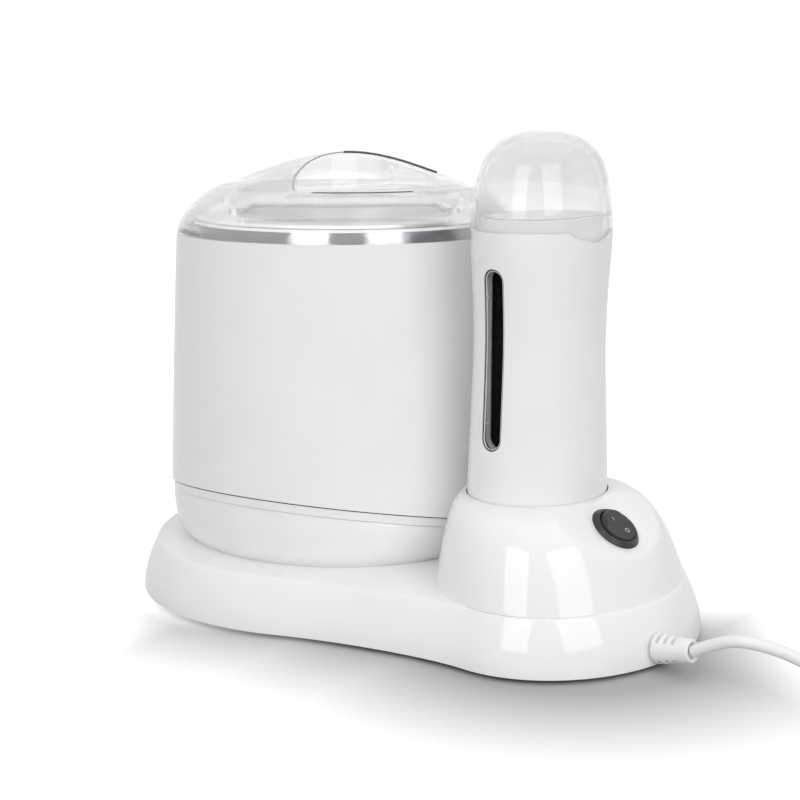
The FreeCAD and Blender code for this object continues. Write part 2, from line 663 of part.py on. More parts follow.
# ---------------------------------------------------------------- dock
def make_dock():
    outer = hand_loft(-DOCK_GAP - DOCK_WALL, DOCK_Z, None, SOCKET_Z)
    inner = hand_loft(-DOCK_GAP, HAND_Z - CLEAR, None, SOCKET_Z + 1.0)
    post_h = DOCK_Z - DECK_Z + DOCK_FLOOR / 2
    posts = [cylinder(DOCK_POST_R, post_h, (HAND_X + x, y, DECK_Z)) for x, y in DOCK_POSTS]
    length, width, height = CONTACT_BLOCK
    window = box(length + 2 * FIT, width + 2 * FIT, 3 * DOCK_FLOOR, HAND_X, 0, DOCK_Z - DOCK_FLOOR)
    keep("dock_cup", joined(outer.cut(inner), *posts).cut(window))

    block_low = DOCK_Z - CONTACT_SINK
    block_top = HAND_Z + height
    block = box(length, width, block_top - block_low, HAND_X, 0, block_low)
    pins = []
    for side in (-1, 1):
        x = HAND_X + side * CONTACT_PITCH / 2
        low = block_low - CONTACT_TAIL
        pins.append(cylinder(CONTACT_PIN_R, block_top + CONTACT_PIN_PROUD - low, (x, 0, low)))
        block = block.cut(cylinder(CONTACT_PIN_R + FIT, SIZE_BIG, (x, 0, low)))
    keep("contact_block", block)
    keep("contact_pins", group(pins))


# ---------------------------------------------------------------- pot housing
def seam_block(drop, upward):
    """Half-space above or below the slanted seam, dropped by drop."""
    lean = math.radians(SEAM_TILT)
    turn = math.radians(-90.0 + SEAM_TURN)
    normal = Vector(-math.sin(lean) * math.cos(turn), -math.sin(lean) * math.sin(turn), math.cos(lean))
    low = 0 if upward else -SIZE_BIG
    block = Part.makeBox(SIZE_BIG, SIZE_BIG, SIZE_BIG, Vector(-SIZE_BIG / 2, -SIZE_BIG / 2, low))
    block.Placement = Placement(Vector(POT_X, 0, DECK_Z + SEAM_MID - drop), Rotation(UP, normal))
    return block


def shell_r(height):
    """Outer radius of the pot shell at a height above the deck: widens gently downwards."""
    share = height / POT_H
    return POT_R_FOOT - (POT_R_FOOT - POT_R_RIM) * (0.75 * share + 0.25 * share * share)


def bowl_r(height):
    depth = max(BOWL_RISE - height, 0.0) / BOWL_RISE
    return BOWL_R_FOOT + (BOWL_R_TOP - BOWL_R_FOOT) * math.sqrt(max(1 - depth * depth, 0.0))


def at_pot(solid):
    solid.translate(Vector(POT_X, 0, 0))
    return solid


well_r = PAN_R + WELL_GAP + WELL_WALL
well_flange_r = well_r + WELL_FLANGE_W
ledge_z = RIM_Z - LEDGE_DROP
collar_low = ledge_z + COLLAR_T
collar_top = RIM_Z + COLLAR_RISE
flange_top = collar_top - COLLAR_T
pan_z = collar_top + CLEAR
pan_top = pan_z + PAN_WALL
well_floor = pan_z - PAN_DEPTH - WELL_GAP - WELL_WALL


def make_pot_housing():
    heights = [POT_H * i / 8 for i in range(9)]
    outer = [(shell_r(h), DECK_Z + h) for h in heights]
    inner = [(r - POT_WALL, z) for r, z in outer]
    shell = at_pot(revolve_curved(outer, inner))
    ledge_low = ledge_z - LEDGE_H
    ledge_out = shell_r(POT_H - LEDGE_DROP) - POT_WALL + 0.5
    ledge = revolve([(LEDGE_R, ledge_low + LEDGE_H / 2), (ledge_out, ledge_low - LEDGE_H / 2),
                     (ledge_out, ledge_z), (LEDGE_R, ledge_z)], POT_X)
    keep("pot_shell", joined(shell, ledge).cut(seam_block(BAND_GROOVE, False)))

    steps = [BOWL_RISE * i / 6 for i in range(7)]
    low_outer = [(bowl_r(h), DECK_Z + h) for h in steps]
    rise = [(BOWL_R_TOP, DECK_Z + BOWL_RISE), (BOWL_R_TOP, DECK_Z + 3 * BOWL_RISE)]
    ring = revolve(low_outer + rise + [(BOWL_R_TOP - POT_WALL, rise[1][1])]
                   + [(r - POT_WALL, z) for r, z in reversed(low_outer + rise[:1])], POT_X)
    band = ring.cut(seam_block(BAND_GROOVE, True)).cut(seam_block(BAND_H, False))
    keep("pot_band", band)

    wall = ring.cut(seam_block(BAND_H + BAND_GROOVE, True))
    floor_r = BOWL_R_FOOT - POT_WALL / 2
    floor = cylinder(floor_r, POT_WALL, (POT_X, 0, DECK_Z))
    floor = joined(floor, *[cylinder(BOSS_R, POT_BOSS_H, (x, y, DECK_Z)) for x, y in pot_screw_places])
    bowl = joined(wall, floor).cut(band)
    bore_h = 3 * POT_BOSS_H
    holes = [cylinder(SCREW_R + FIT, bore_h, (x, y, DECK_Z - CLEAR)) for x, y in pot_screw_places]
    holes.append(cylinder(LEAD_HOLE_R, bore_h, (POT_X, 0, DECK_Z - CLEAR)))
    keep("pot_bowl", bowl.cut(group(holes)))
    keep("pot_screws", group([screw((x, y, DECK_UNDER), POT_SCREW_LEN) for x, y in pot_screw_places]))

    well_in = well_r - WELL_WALL
    well_turn = PAN_R_FLOOR + WELL_GAP
    keep("heating_well", revolve([
        (0, well_floor), (well_turn, well_floor), (well_r, well_floor + WELL_ROUND),
        (well_r, flange_top - WELL_FLANGE_T), (well_flange_r, flange_top - WELL_FLANGE_T),
        (well_flange_r, flange_top), (well_in, flange_top), (well_in, well_floor + WELL_ROUND + WELL_WALL),
        (well_turn, well_floor + WELL_WALL), (0, well_floor + WELL_WALL)], POT_X))

    top_in = shell_r(POT_H) - POT_WALL - CLEAR
    keep("pot_collar", revolve([
        (COLLAR_RING_R - COLLAR_T, ledge_z), (top_in, ledge_z), (top_in, collar_low),
        (COLLAR_RING_R, collar_low), (COLLAR_RING_R, collar_top - COLLAR_ROUND),
        (COLLAR_RING_R - COLLAR_ROUND, collar_top), (well_r, collar_top), (well_r, flange_top),
        (COLLAR_RING_R - COLLAR_T, flange_top)], POT_X))

    heater_low = well_floor + WELL_ROUND + HEATER_FROM_FLOOR
    heater_r = well_r + FIT
    keep("heater_band", revolve([
        (heater_r, heater_low), (heater_r + HEATER_T, heater_low),
        (heater_r + HEATER_T, heater_low + HEATER_H), (heater_r, heater_low + HEATER_H)], POT_X))
    wool_in = heater_r + HEATER_T + FIT
    wool_low = flange_top - WELL_FLANGE_T - 2.0 - INSULATION_H
    keep("insulation_sleeve", revolve([
        (wool_in, wool_low), (wool_in + INSULATION_T, wool_low),
        (wool_in + INSULATION_T, wool_low + INSULATION_H), (wool_in, wool_low + INSULATION_H)], POT_X))

    stat_z = well_floor - STAT_H
    stat = joined(cylinder(STAT_R, STAT_H, (POT_X + STAT_OFF, 0, stat_z)),
                  box(*STAT_STRAP, POT_X + STAT_OFF, 0, well_floor - STAT_STRAP[2]))
    keep("pot_thermostat", stat)
    fuse = cylinder(FUSE_R, FUSE_LEN, (POT_X - STAT_OFF, -FUSE_LEN / 2, well_floor - FUSE_R), (0, 1, 0))
    keep("pot_fuse", fuse)


# ---------------------------------------------------------------- inner pot, bail and lid
def turned(solid, angle):
    """Turn a piece about the pot axis."""
    solid.rotate(Vector(POT_X, 0, 0), UP, angle)
    return solid


pivot_z = pan_top + BAIL_LIFT


def make_pan():
    floor = pan_z - PAN_DEPTH
    pan = revolve([
        (0, floor), (PAN_R_FLOOR - PAN_ROUND, floor), (PAN_R_FLOOR, floor + PAN_ROUND), (PAN_R, pan_z),
        (PAN_FLANGE_R, pan_z), (PAN_FLANGE_R, pan_top), (PAN_R - PAN_WALL, pan_top),
        (PAN_R_FLOOR - PAN_WALL, floor + PAN_ROUND + PAN_WALL / 2),
        (PAN_R_FLOOR - PAN_ROUND - PAN_WALL / 2, floor + PAN_WALL),
        (0, floor + PAN_WALL)], POT_X)
    ears = [box(EAR_T, EAR_WIDTH, EAR_RISE + PAN_WALL / 2, POT_X + side * EAR_AT, 0, pan_top - PAN_WALL / 2)
            for side in (-1, 1)]
    hole = cylinder(BAIL_WIRE_R + FIT, 4 * PAN_R, (POT_X - 2 * PAN_R, 0, pivot_z), (1, 0, 0))
    keep("inner_pot", turned(joined(pan, *ears).cut(hole), BAIL_TURN))


def make_bail():
    pin_end = EAR_AT + EAR_T / 2 + BAIL_PIN_PROUD
    points = [Vector(POT_X + x, y, pivot_z) for x, y in (
        (-pin_end, 0), (-BAIL_HALF, 0), (-BAIL_HALF, BAIL_LEN),
        (BAIL_HALF, BAIL_LEN), (BAIL_HALF, 0), (pin_end, 0))]
    bends = (BAIL_PIN_BEND, BAIL_CORNER, BAIL_CORNER, BAIL_PIN_BEND)
    edges = []
    start = points[0]
    for before, corner, after, bend in zip(points, points[1:], points[2:], bends):
        come = (before - corner).normalize()
        leave = (after - corner).normalize()
        inside = (come + leave).normalize()
        edges.append(Part.LineSegment(start, corner + come * bend).toShape())
        middle = corner + inside * bend * (math.sqrt(2) - 1)
        edges.append(Part.Arc(corner + come * bend, middle, corner + leave * bend).toShape())
        start = corner + leave * bend
    edges.append(Part.LineSegment(start, points[-1]).toShape())
    ring = Part.Wire(Part.Circle(points[0], Vector(1, 0, 0), BAIL_WIRE_R).toShape())
    keep("bail", turned(Part.Wire(edges).makePipeShell([ring], True, False), BAIL_TURN))


def scoops(grow, floor_z):
    """Both round finger scoops, grown outwards by grow, down to floor_z."""
    cutters = []
    for turn in (SCOOP_TURN, SCOOP_TURN + 180.0):
        x, y = polar(0.0, SCOOP_AT, turn)
        cutters.append(cylinder(SCOOP_R + grow, 2 * LID_RISE, (x, y, floor_z)))
    return cutters


def dome_solid(line, bore_r, bore_z):
    """Solid of revolution under a smooth (r, z) line, on a straight spigot of bore_r down to bore_z."""
    first, last = line[0], line[-1]
    lines = [last, (0.0, bore_z), (bore_r, bore_z), (bore_r, first[1])]
    if first[0] > bore_r:
        lines.append(first)
    edges = [curve(line)] + [line_rz(start, end) for start, end in zip(lines, lines[1:])]
    return Part.Face(Part.Wire(Part.__sortEdges__(edges))).revolve(Vector(0, 0, 0), UP, 360)


def make_lid():
    """Clear dome with two finger scoops and a ring that locates it in the pot's rim."""
    low = RIM_Z + LID_GAP
    locator_out = shell_r(POT_H) - POT_WALL - 2 * CLEAR
    locator_in = locator_out - LID_LOCATOR_T
    line = [(r * LID_SKIRT_R / LID_DRAWN_R, z) for r, z in LID_DOME]
    outer = [(LID_SKIRT_R, low)] + [(r, RIM_Z + z) for r, z in line] + [(0.0, RIM_Z + LID_RISE)]
    inner = [(r, RIM_Z + z) for r, z in inward(line, LID_WALL)]
    inner = [(locator_in, low + 1.0)] + inner[1:] + [(0.0, RIM_Z + LID_RISE - LID_WALL)]
    lid = dome_solid(outer, locator_out, low - LID_LOCATOR_H)
    for cutter in scoops(0.0, RIM_Z + SHELF_RISE):
        lid = lid.cut(cutter)
    hollow = dome_solid(inner, locator_in, low - LID_LOCATOR_H - 1.0)
    for cutter in scoops(SCOOP_WALL, RIM_Z + SHELF_RISE - SHELF_T):
        hollow = hollow.cut(cutter)
    keep("lid", at_pot(lid.cut(hollow)))


# ---------------------------------------------------------------- handpiece
neck_g = HAND_PROFILE[-1][1]
neck_a = HAND_A * neck_g - CAP_WALL - CAP_GAP
neck_b = HAND_B * neck_g - CAP_WALL - CAP_GAP
neck_top = CAP_Z + NECK_H


def tab_cylinder(grow):
    """The cap's thumb tab is bounded below by this cylinder across X, on the switch side."""
    centre_z = CAP_Z - TAB_DROP + TAB_RADIUS
    return cylinder(TAB_RADIUS + grow, SIZE_BIG, (HAND_X, 0, centre_z), (1, 0, 0))


def make_handpiece():
    outer = hand_loft(0.0)
    neck = oval_face_prism(neck_a, neck_b, CAP_Z - NECK_ROOT, neck_top)
    tab_room = tab_cylinder(CAP_GAP).cut(oval_face_prism(neck_a, neck_b, HAND_Z, RIM_Z + SIZE_BIG))
    bore = oval_face_prism(neck_a - HAND_WALL, neck_b - HAND_WALL, CAP_Z - 2 * NECK_ROOT, neck_top + 1.0)
    room = hand_loft(HAND_WALL, HAND_Z - 1.0, CAP_Z - NECK_ROOT)
    bosses = []
    boss_holes = []
    for side in (-1, 1):
        y = side * HAND_SCREW_AT
        bosses.append(cylinder(HAND_BOSS_R, HAND_BOSS_H, (HAND_X, y, HAND_Z + HAND_FOOT_H)))
        boss_holes.append(cylinder(HAND_SCREW_R + FIT, HAND_BOSS_H, (HAND_X, y, HAND_Z + HAND_FOOT_H - 1.0)))
    thick, reach, tall = HAND_RIB
    for side in (-1, 1):
        rib_y = side * (HAND_SCREW_AT + reach / 2)
        bosses.append(box(thick, reach, tall, HAND_X, rib_y, HAND_Z + HAND_FOOT_H))
    foot_cut = box(4 * HAND_A, 4 * HAND_B, HAND_FOOT_H, HAND_X, 0, HAND_Z)
    shell = joined(outer.cut(tab_room), neck).cut(room).cut(bore)
    shell = joined(shell, *bosses).cut(group(boss_holes)).cut(foot_cut).cut(window_prism(0.0))
    keep("hand_shell", shell)

    lens = hand_loft(WINDOW_SINK).common(window_prism(FIT)).cut(room)
    keep("hand_window", lens)

    foot = outer.common(box(4 * HAND_A, 4 * HAND_B, HAND_FOOT_H - FIT, HAND_X, 0, HAND_Z))
    length, width, height = CONTACT_BLOCK
    recess_h = height + CONTACT_PIN_PROUD + CLEAR + FOOT_PLATE_T
    recess = box(length + 1.2, width + 1.2, recess_h, HAND_X, 0, HAND_Z)
    foot = joined(foot, box(length + 6.0, width + 6.0, recess_h + 1.5, HAND_X, 0, HAND_Z)).cut(recess)
    foot_holes = []
    foot_screws = []
    for side in (-1, 1):
        y = side * HAND_SCREW_AT
        foot_holes.append(cylinder(HAND_SCREW_R + FIT, HAND_BOSS_H, (HAND_X, y, HAND_Z - 1.0)))
        foot_holes.append(cylinder(FOOT_SCREW_HEAD_R + 0.2, FOOT_SCREW_SINK, (HAND_X, y, HAND_Z)))
        foot_screws.append(screw((HAND_X, y, HAND_Z + FOOT_SCREW_SINK), HAND_SCREW_LEN, UP,
                                 HAND_SCREW_R, FOOT_SCREW_HEAD_R, 1.3))
    keep("hand_foot", foot.cut(group(foot_holes)))
    keep("hand_screws", group(foot_screws))
    plates = []
    for side in (-1, 1):
        x = HAND_X + side * CONTACT_PITCH / 2
        plates.append(box(5.0, 6.0, FOOT_PLATE_T, x, 0, HAND_Z + recess_h - FOOT_PLATE_T))
    keep("hand_contacts", group(plates))


def window_prism(shrink):
    """Stadium-shaped slot through the front of the handpiece."""
    half = WINDOW_HALF - shrink
    low = HAND_Z + WINDOW_LOW + WINDOW_HALF
    high = HAND_Z + WINDOW_HIGH - WINDOW_HALF
    left, right = HAND_X - half, HAND_X + half
    y = -2 * HAND_B
    wire = Part.Wire([
        Part.makeLine(Vector(right, y, low), Vector(right, y, high)),
        Part.Arc(Vector(right, y, high), Vector(HAND_X, y, high + half), Vector(left, y, high)).toShape(),
        Part.makeLine(Vector(left, y, high), Vector(left, y, low)),
        Part.Arc(Vector(left, y, low), Vector(HAND_X, y, low - half), Vector(right, y, low)).toShape(),
    ])
    return Part.Face(wire).extrude(Vector(0, 2 * HAND_B, 0))


def make_bay():
    bay_top = neck_top - NECK_PLATE_T
    bay_low = neck_top - BAY_DEPTH
    solid = stadium(BAY_HALF_X + BAY_WALL, BAY_HALF_Y + BAY_WALL, bay_low, bay_top, HAND_X)
    room = stadium(BAY_HALF_X, BAY_HALF_Y, bay_low + BAY_WALL, bay_top + 1.0, HAND_X)
    keep("cartridge_bay", solid.cut(room).cut(window_prism(0.0)))
    plate = oval_face_prism(neck_a - HAND_WALL - FIT, neck_b - HAND_WALL - FIT, bay_top, neck_top)
    mouth = stadium(BAY_HALF_X, BAY_HALF_Y, bay_top - 1.0, neck_top + 1.0, HAND_X)
    keep("neck_plate", plate.cut(mouth))
    thick, wide, tall = PTC_SIZE
    ptc_x = HAND_X - BAY_HALF_X - BAY_WALL - thick / 2
    keep("hand_heater", box(thick, wide * 0.75, tall, ptc_x, 0, bay_low + 8.0))
    stat_x = HAND_X + BAY_HALF_X + BAY_WALL
    keep("hand_thermostat", cylinder(HAND_STAT_R, HAND_STAT_T, (stat_x, 0, bay_low + 30.0), (1, 0, 0)))
    stand = box(*STAND_PLATE, HAND_X, 0, bay_low - STAND_PLATE[2])
    post_h = bay_low - STAND_PLATE[2] - HAND_Z - HAND_FOOT_H
    posts = [cylinder(STAND_POST_R, post_h, (HAND_X + x, y, HAND_Z + HAND_FOOT_H)) for x, y in STAND_POSTS]
    keep("bay_stand", joined(stand, *posts))


def make_cap():
    line = [(HAND_B * neck_g, CAP_Z - 6.0), (HAND_B * neck_g, CAP_Z)]
    line += [(HAND_B * g, CAP_Z + h) for h, g in CAP_PROFILE]
    inner = inward(line, CAP_WALL)
    line.append((0.0, CAP_Z + CAP_RISE))
    inner.append((0.0, CAP_Z + CAP_RISE - CAP_WALL))
    shell = oval(revolve_curved(line, inner))
    top_half = box(SIZE_BIG, SIZE_BIG, SIZE_BIG, HAND_X, 0, CAP_Z + CAP_GAP)
    keep("cap", shell.common(joined(top_half, tab_cylinder(0.0))))


# ---------------------------------------------------------------- cord and leads
relief_tip = exit_at + exit_dir * RELIEF_LEN
CORD_ROUTE = (
    tuple(relief_tip),
    (169.1, -8.4, 19.2),
    (180.0, -5.8, 20.7),
    (194.3, 1.5, 17.0),
    (211.5, 13.5, 5.4),
    (233.0, 24.0, 2.8),
    (249.0, 26.5, 2.6),
    (265.0, 26.5, 2.6),
)
COIL_AT = (265.0, -4.0)
TAIL_ROUTE = (
    (265.0, 29.1, 7.0),
    (282.0, 29.6, 4.9),
    (299.0, 27.0, 2.7),
    (317.0, 21.0, 2.6),
    (334.0, 17.5, 4.6),
    (351.0, 17.0, 7.0),
)


def make_relief():
    """Moulded strain relief: inner flange, neck, collar and ribs that taper to the cord."""
    def ring(low, high, r):
        return cylinder(r, high - low, exit_at + exit_dir * low, exit_dir)
    flange = ring(-RELIEF_INSIDE, -BASE_WALL - 2 * CLEAR, RELIEF_FLANGE_R)
    collar_end = 2 * CLEAR + RELIEF_COLLAR_T
    pieces = [flange, ring(2 * CLEAR, collar_end, RELIEF_COLLAR_R)]
    core = Part.makeCone(RELIEF_NECK_R, RELIEF_CORE_R, RELIEF_LEN, exit_at, exit_dir)
    pitch = (RELIEF_LEN - collar_end) / RELIEF_RIBS
    for i in range(RELIEF_RIBS):
        high = collar_end + pitch * (i + 1)
        taper = (RELIEF_COLLAR_R - RELIEF_TIP_R) * (i + 1) / RELIEF_RIBS
        pieces.append(ring(high - RELIEF_RIB_SHARE * pitch, high, RELIEF_COLLAR_R - taper))
    neck = ring(-RELIEF_INSIDE, BASE_WALL, RELIEF_NECK_R)
    keep("strain_relief", joined(neck, core, *pieces).cut(parts["base_cover"]))


def make_cord():
    x, y = COIL_AT
    pitch = CORD_D * math.sqrt(3) / 2
    flat, wide, high = CORD_D * 0.78, CORD_D * 1.55, 2 * pitch + CORD_D
    ring = [(COIL_TURN_R + dr, z) for dr, z in (
        (-flat, 0.0), (flat, 0.0), (wide, high / 2), (flat, high), (-flat, high), (-wide, high / 2))]
    coil = revolve(ring)
    coil.translate(Vector(x, y, 0))
    keep("cord_coil", coil)
    run = tube(CORD_ROUTE, CORD_D / 2, "cord_run")
    keep("cord_run", run.cut(coil).cut(parts["strain_relief"]))
    keep("cord_tail", tube(TAIL_ROUTE, CORD_D / 2, "cord_tail").cut(coil))
    at = Vector(*TAIL_ROUTE[-1])
    sleeve = Part.makeCone(CORD_D / 2 + 1.2, CORD_D / 2 + 2.6, PLUG_SLEEVE, at, Vector(1, 0, 0))
    bore = cylinder(CORD_D / 2 + FIT, PLUG_SLEEVE + 4.0, at - Vector(1, 0, 0), (1, 0, 0))
    block_x = at.x + PLUG_SLEEVE + PLUG_LEN / 2
    block = box(PLUG_LEN, PLUG_WIDTH, PLUG_THICK, block_x, at.y, at.z - PLUG_THICK / 2)
    upright = [e for e in block.Edges if abs(e.BoundBox.ZLength - PLUG_THICK) < 0.01]
    block = block.makeFillet(PLUG_ROUND, upright)
    pin_x = at.x + PLUG_SLEEVE + PLUG_LEN - PLUG_PIN_ROOT
    pin_len = PLUG_PIN_LEN + PLUG_PIN_ROOT
    pins = [cylinder(PLUG_PIN_R, pin_len, (pin_x, at.y + side * PLUG_PITCH / 2, at.z), (1, 0, 0))
            for side in (-1, 1)]
    keep("plug_body", joined(sleeve, block).cut(bore).cut(group(pins)))
    keep("plug_pins", group(pins))


def make_leads():
    tail_from = exit_at - exit_dir * RELIEF_INSIDE
    block_x = LOBE_X + TERMINAL_OUT
    block = keep("terminal_block", box(*TERMINAL_BLOCK, block_x, CORD_Y, PLATE_TOP))
    tail_to = Vector(block_x + TERMINAL_BLOCK[0] / 2, CORD_Y, PLATE_TOP + CORD_D / 2 + CLEAR)
    reach = tail_to - tail_from
    tail = cylinder(CORD_D / 2, reach.Length, tail_from, reach)
    keep("mains_tail", tail.cut(block).cut(parts["strain_relief"]))
    clamp_h = exit_z + CLAMP_OVER - PLATE_TOP
    clamp = box(CLAMP_LEN, CLAMP_WIDTH, clamp_h, block_x + CLAMP_OUT, CORD_Y, PLATE_TOP)
    keep("cord_clamp", clamp.cut(cylinder(CORD_D / 2 + FIT, reach.Length, tail_from, reach)))


for build in (make_base, make_pedestal, make_switch, make_dock, make_pot_housing, make_pan, make_bail,
              make_lid, make_handpiece, make_bay, make_cap, make_relief, make_cord, make_leads):
    build()

os.makedirs("parts", exist_ok=True)
for name, shape in parts.items():
    shape.exportStep("parts/" + name + ".step")
    print(name, "solids", len(shape.Solids), "valid", shape.isValid(), "volume", round(shape.Volume, 1))
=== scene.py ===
import bpy
import json
import math
from mathutils import Matrix, Vector


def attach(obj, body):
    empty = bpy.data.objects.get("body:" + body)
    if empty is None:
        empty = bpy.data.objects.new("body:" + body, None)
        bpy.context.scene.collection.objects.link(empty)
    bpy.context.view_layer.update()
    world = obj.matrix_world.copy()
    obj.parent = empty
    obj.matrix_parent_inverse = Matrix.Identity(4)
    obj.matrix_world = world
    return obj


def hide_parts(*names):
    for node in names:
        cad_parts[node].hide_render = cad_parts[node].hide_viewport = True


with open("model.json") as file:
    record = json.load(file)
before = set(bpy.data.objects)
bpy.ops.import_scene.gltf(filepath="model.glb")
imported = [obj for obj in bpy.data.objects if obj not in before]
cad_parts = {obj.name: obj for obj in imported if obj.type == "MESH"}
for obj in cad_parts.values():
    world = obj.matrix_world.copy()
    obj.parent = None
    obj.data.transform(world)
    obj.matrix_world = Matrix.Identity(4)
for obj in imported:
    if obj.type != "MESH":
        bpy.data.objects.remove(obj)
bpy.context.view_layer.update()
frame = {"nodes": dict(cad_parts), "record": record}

# Roll-on wax heater.  Metres, +Z up; a piece's place is in its mesh.

# ---------------------------------------------------------------- sizes shared with the solids
POT_X = -0.0495             # middle of the pot
LOBE_X = 0.0845             # middle of the base's front lobe
HAND_X = 0.069              # middle of the handpiece
DECK_Z = 0.0255             # top of the base
SOCKET_Z = 0.0624           # top of the pedestal
NECK_TOP = 0.1816

# ---------------------------------------------------------------- camera
CAMERA_AT = (0.4605, -0.5088, 0.2294)
CAMERA_RIGHT = Vector((0.7318, 0.6815, -0.0012))
CAMERA_UP = Vector((-0.1325, 0.1440, 0.9807))
LENS = 67.5

camera = bpy.data.objects.new("camera", bpy.data.cameras.new("camera"))
bpy.context.scene.collection.objects.link(camera)
camera_back = CAMERA_RIGHT.cross(CAMERA_UP).normalized()
camera_up = camera_back.cross(CAMERA_RIGHT).normalized()
turn = Matrix((CAMERA_RIGHT.normalized(), camera_up, camera_back)).transposed()
camera.matrix_world = Matrix.Translation(CAMERA_AT) @ turn.to_4x4()
camera.data.sensor_width = 36.0
camera.data.lens = LENS
camera.data.clip_start = 0.01
camera.data.clip_end = 20.0
bpy.context.scene.camera = camera

# ---------------------------------------------------------------- mains cord
CORD_D = 0.0051
CORD_EXIT = (0.1562, -0.0090, 0.0116)
FREE_RUN = (
    (0.1691, -0.0084, 0.0192), (0.1800, -0.0058, 0.0207), (0.1943, 0.0015, 0.0170),
    (0.2115, 0.0135, 0.0054), (0.2330, 0.0240, 0.0028), (0.2490, 0.0265, 0.0026))
COIL_MIDDLE = (0.265, -0.004)
COIL_TURNS = (              # radius and height of each turn
    (0.03055, 0.0026), (0.02545, 0.0026), (0.0229, 0.0070), (0.0280, 0.0070),
    (0.02545, 0.0114), (0.03055, 0.0114), (0.0331, 0.0070))
POINTS_PER_TURN = 16
POINTS_OF_CHANGE = 5        # the last points of a turn lead over to the next one
TO_PLUG = (
    (0.2650, 0.0291, 0.0070), (0.2820, 0.0296, 0.0049), (0.2990, 0.0270, 0.0027),
    (0.3170, 0.0210, 0.0026), (0.3340, 0.0175, 0.0046), (0.3510, 0.0170, 0.0070))


def cord_points():
    """The free run to the ground, the turns of the coil, and the tail to the plug."""
    points = [CORD_EXIT, *FREE_RUN]
    for i, (radius, height) in enumerate(COIL_TURNS):
        after = COIL_TURNS[min(i + 1, len(COIL_TURNS) - 1)]
        for step in range(POINTS_PER_TURN):
            change = max(0.0, (step - POINTS_PER_TURN + POINTS_OF_CHANGE) / POINTS_OF_CHANGE)
            r = radius + (after[0] - radius) * change
            z = height + (after[1] - height) * change
            angle = math.pi / 2 - 2 * math.pi * step / POINTS_PER_TURN
            points.append((COIL_MIDDLE[0] + r * math.cos(angle), COIL_MIDDLE[1] + r * math.sin(angle), z))
    return points + list(TO_PLUG)


cord_line = bpy.data.curves.new("mains_cord", "CURVE")
cord_line.dimensions = "3D"
cord_line.bevel_depth = 1.0         # times each point's radius
cord_line.bevel_resolution = 6
cord_line.resolution_u = 6
cord_line.use_fill_caps = True
spline = cord_line.splines.new("NURBS")
route = cord_points()
spline.points.add(len(route) - 1)
for point, place in zip(spline.points, route):
    point.co = (*place, 1.0)
    point.radius = CORD_D / 2
spline.order_u = 3
spline.use_endpoint_u = True
mains_cord = bpy.data.objects.new("mains_cord", cord_line)
bpy.context.scene.collection.objects.link(mains_cord)
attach(mains_cord, "housing")
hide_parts("cord_run", "cord_coil", "cord_tail")

# ---------------------------------------------------------------- materials
MOTTLE_SCALE = 45.0
MOTTLE_DETAIL = 3.0
MOTTLE_TINT_SPAN = (0.35, 0.65)     # of the noise, from the darkest to the full colour
MOTTLE_GLOSS_SPAN = (0.3, 0.7)      # of the noise, from the glossiest to the dullest
GRAIN_DETAIL = 2.0
GRAIN_STRENGTH = 0.5
EDGE_ON_FROM = 0.45                 # how far turned away clear plastic starts to look thicker


def finish(name, colour, rough, metal=0.0, grain=700.0, grain_depth=0.00001, rough_spread=0.05,
           tint_spread=0.02, **sockets):
    """A moulded or metal finish: faint mottling in its colour and gloss, and a fine surface grain."""
    material = bpy.data.materials.new(name)
    material.use_nodes = True
    tree = material.node_tree
    shader = tree.nodes["Principled BSDF"]
    place = tree.nodes.new("ShaderNodeTexCoord").outputs["Object"]
    cloudy = tree.nodes.new("ShaderNodeTexNoise")
    cloudy.inputs["Scale"].default_value = MOTTLE_SCALE
    cloudy.inputs["Detail"].default_value = MOTTLE_DETAIL
    tree.links.new(place, cloudy.inputs["Vector"])
    tint = tree.nodes.new("ShaderNodeValToRGB")
    tint.color_ramp.elements[0].position = MOTTLE_TINT_SPAN[0]
    tint.color_ramp.elements[1].position = MOTTLE_TINT_SPAN[1]
    tint.color_ramp.elements[0].color = (*[c * (1 - tint_spread) for c in colour], 1)
    tint.color_ramp.elements[1].color = (*colour, 1)
    tree.links.new(cloudy.outputs["Fac"], tint.inputs["Fac"])
    tree.links.new(tint.outputs["Color"], shader.inputs["Base Color"])
    gloss = tree.nodes.new("ShaderNodeMapRange")
    gloss.inputs["From Min"].default_value = MOTTLE_GLOSS_SPAN[0]
    gloss.inputs["From Max"].default_value = MOTTLE_GLOSS_SPAN[1]
    gloss.inputs["To Min"].default_value = rough
    gloss.inputs["To Max"].default_value = rough + rough_spread
    tree.links.new(cloudy.outputs["Fac"], gloss.inputs["Value"])
    tree.links.new(gloss.outputs["Result"], shader.inputs["Roughness"])
    fine = tree.nodes.new("ShaderNodeTexNoise")
    fine.inputs["Scale"].default_value = grain
    fine.inputs["Detail"].default_value = GRAIN_DETAIL
    tree.links.new(place, fine.inputs["Vector"])
    bump = tree.nodes.new("ShaderNodeBump")
    bump.inputs["Strength"].default_value = GRAIN_STRENGTH
    bump.inputs["Distance"].default_value = grain_depth
    tree.links.new(fine.outputs["Fac"], bump.inputs["Height"])
    tree.links.new(bump.outputs["Normal"], shader.inputs["Normal"])
    shader.inputs["Metallic"].default_value = metal
    for socket, value in sockets.items():
        shader.inputs[socket.replace("_", " ")].default_value = value
    return material


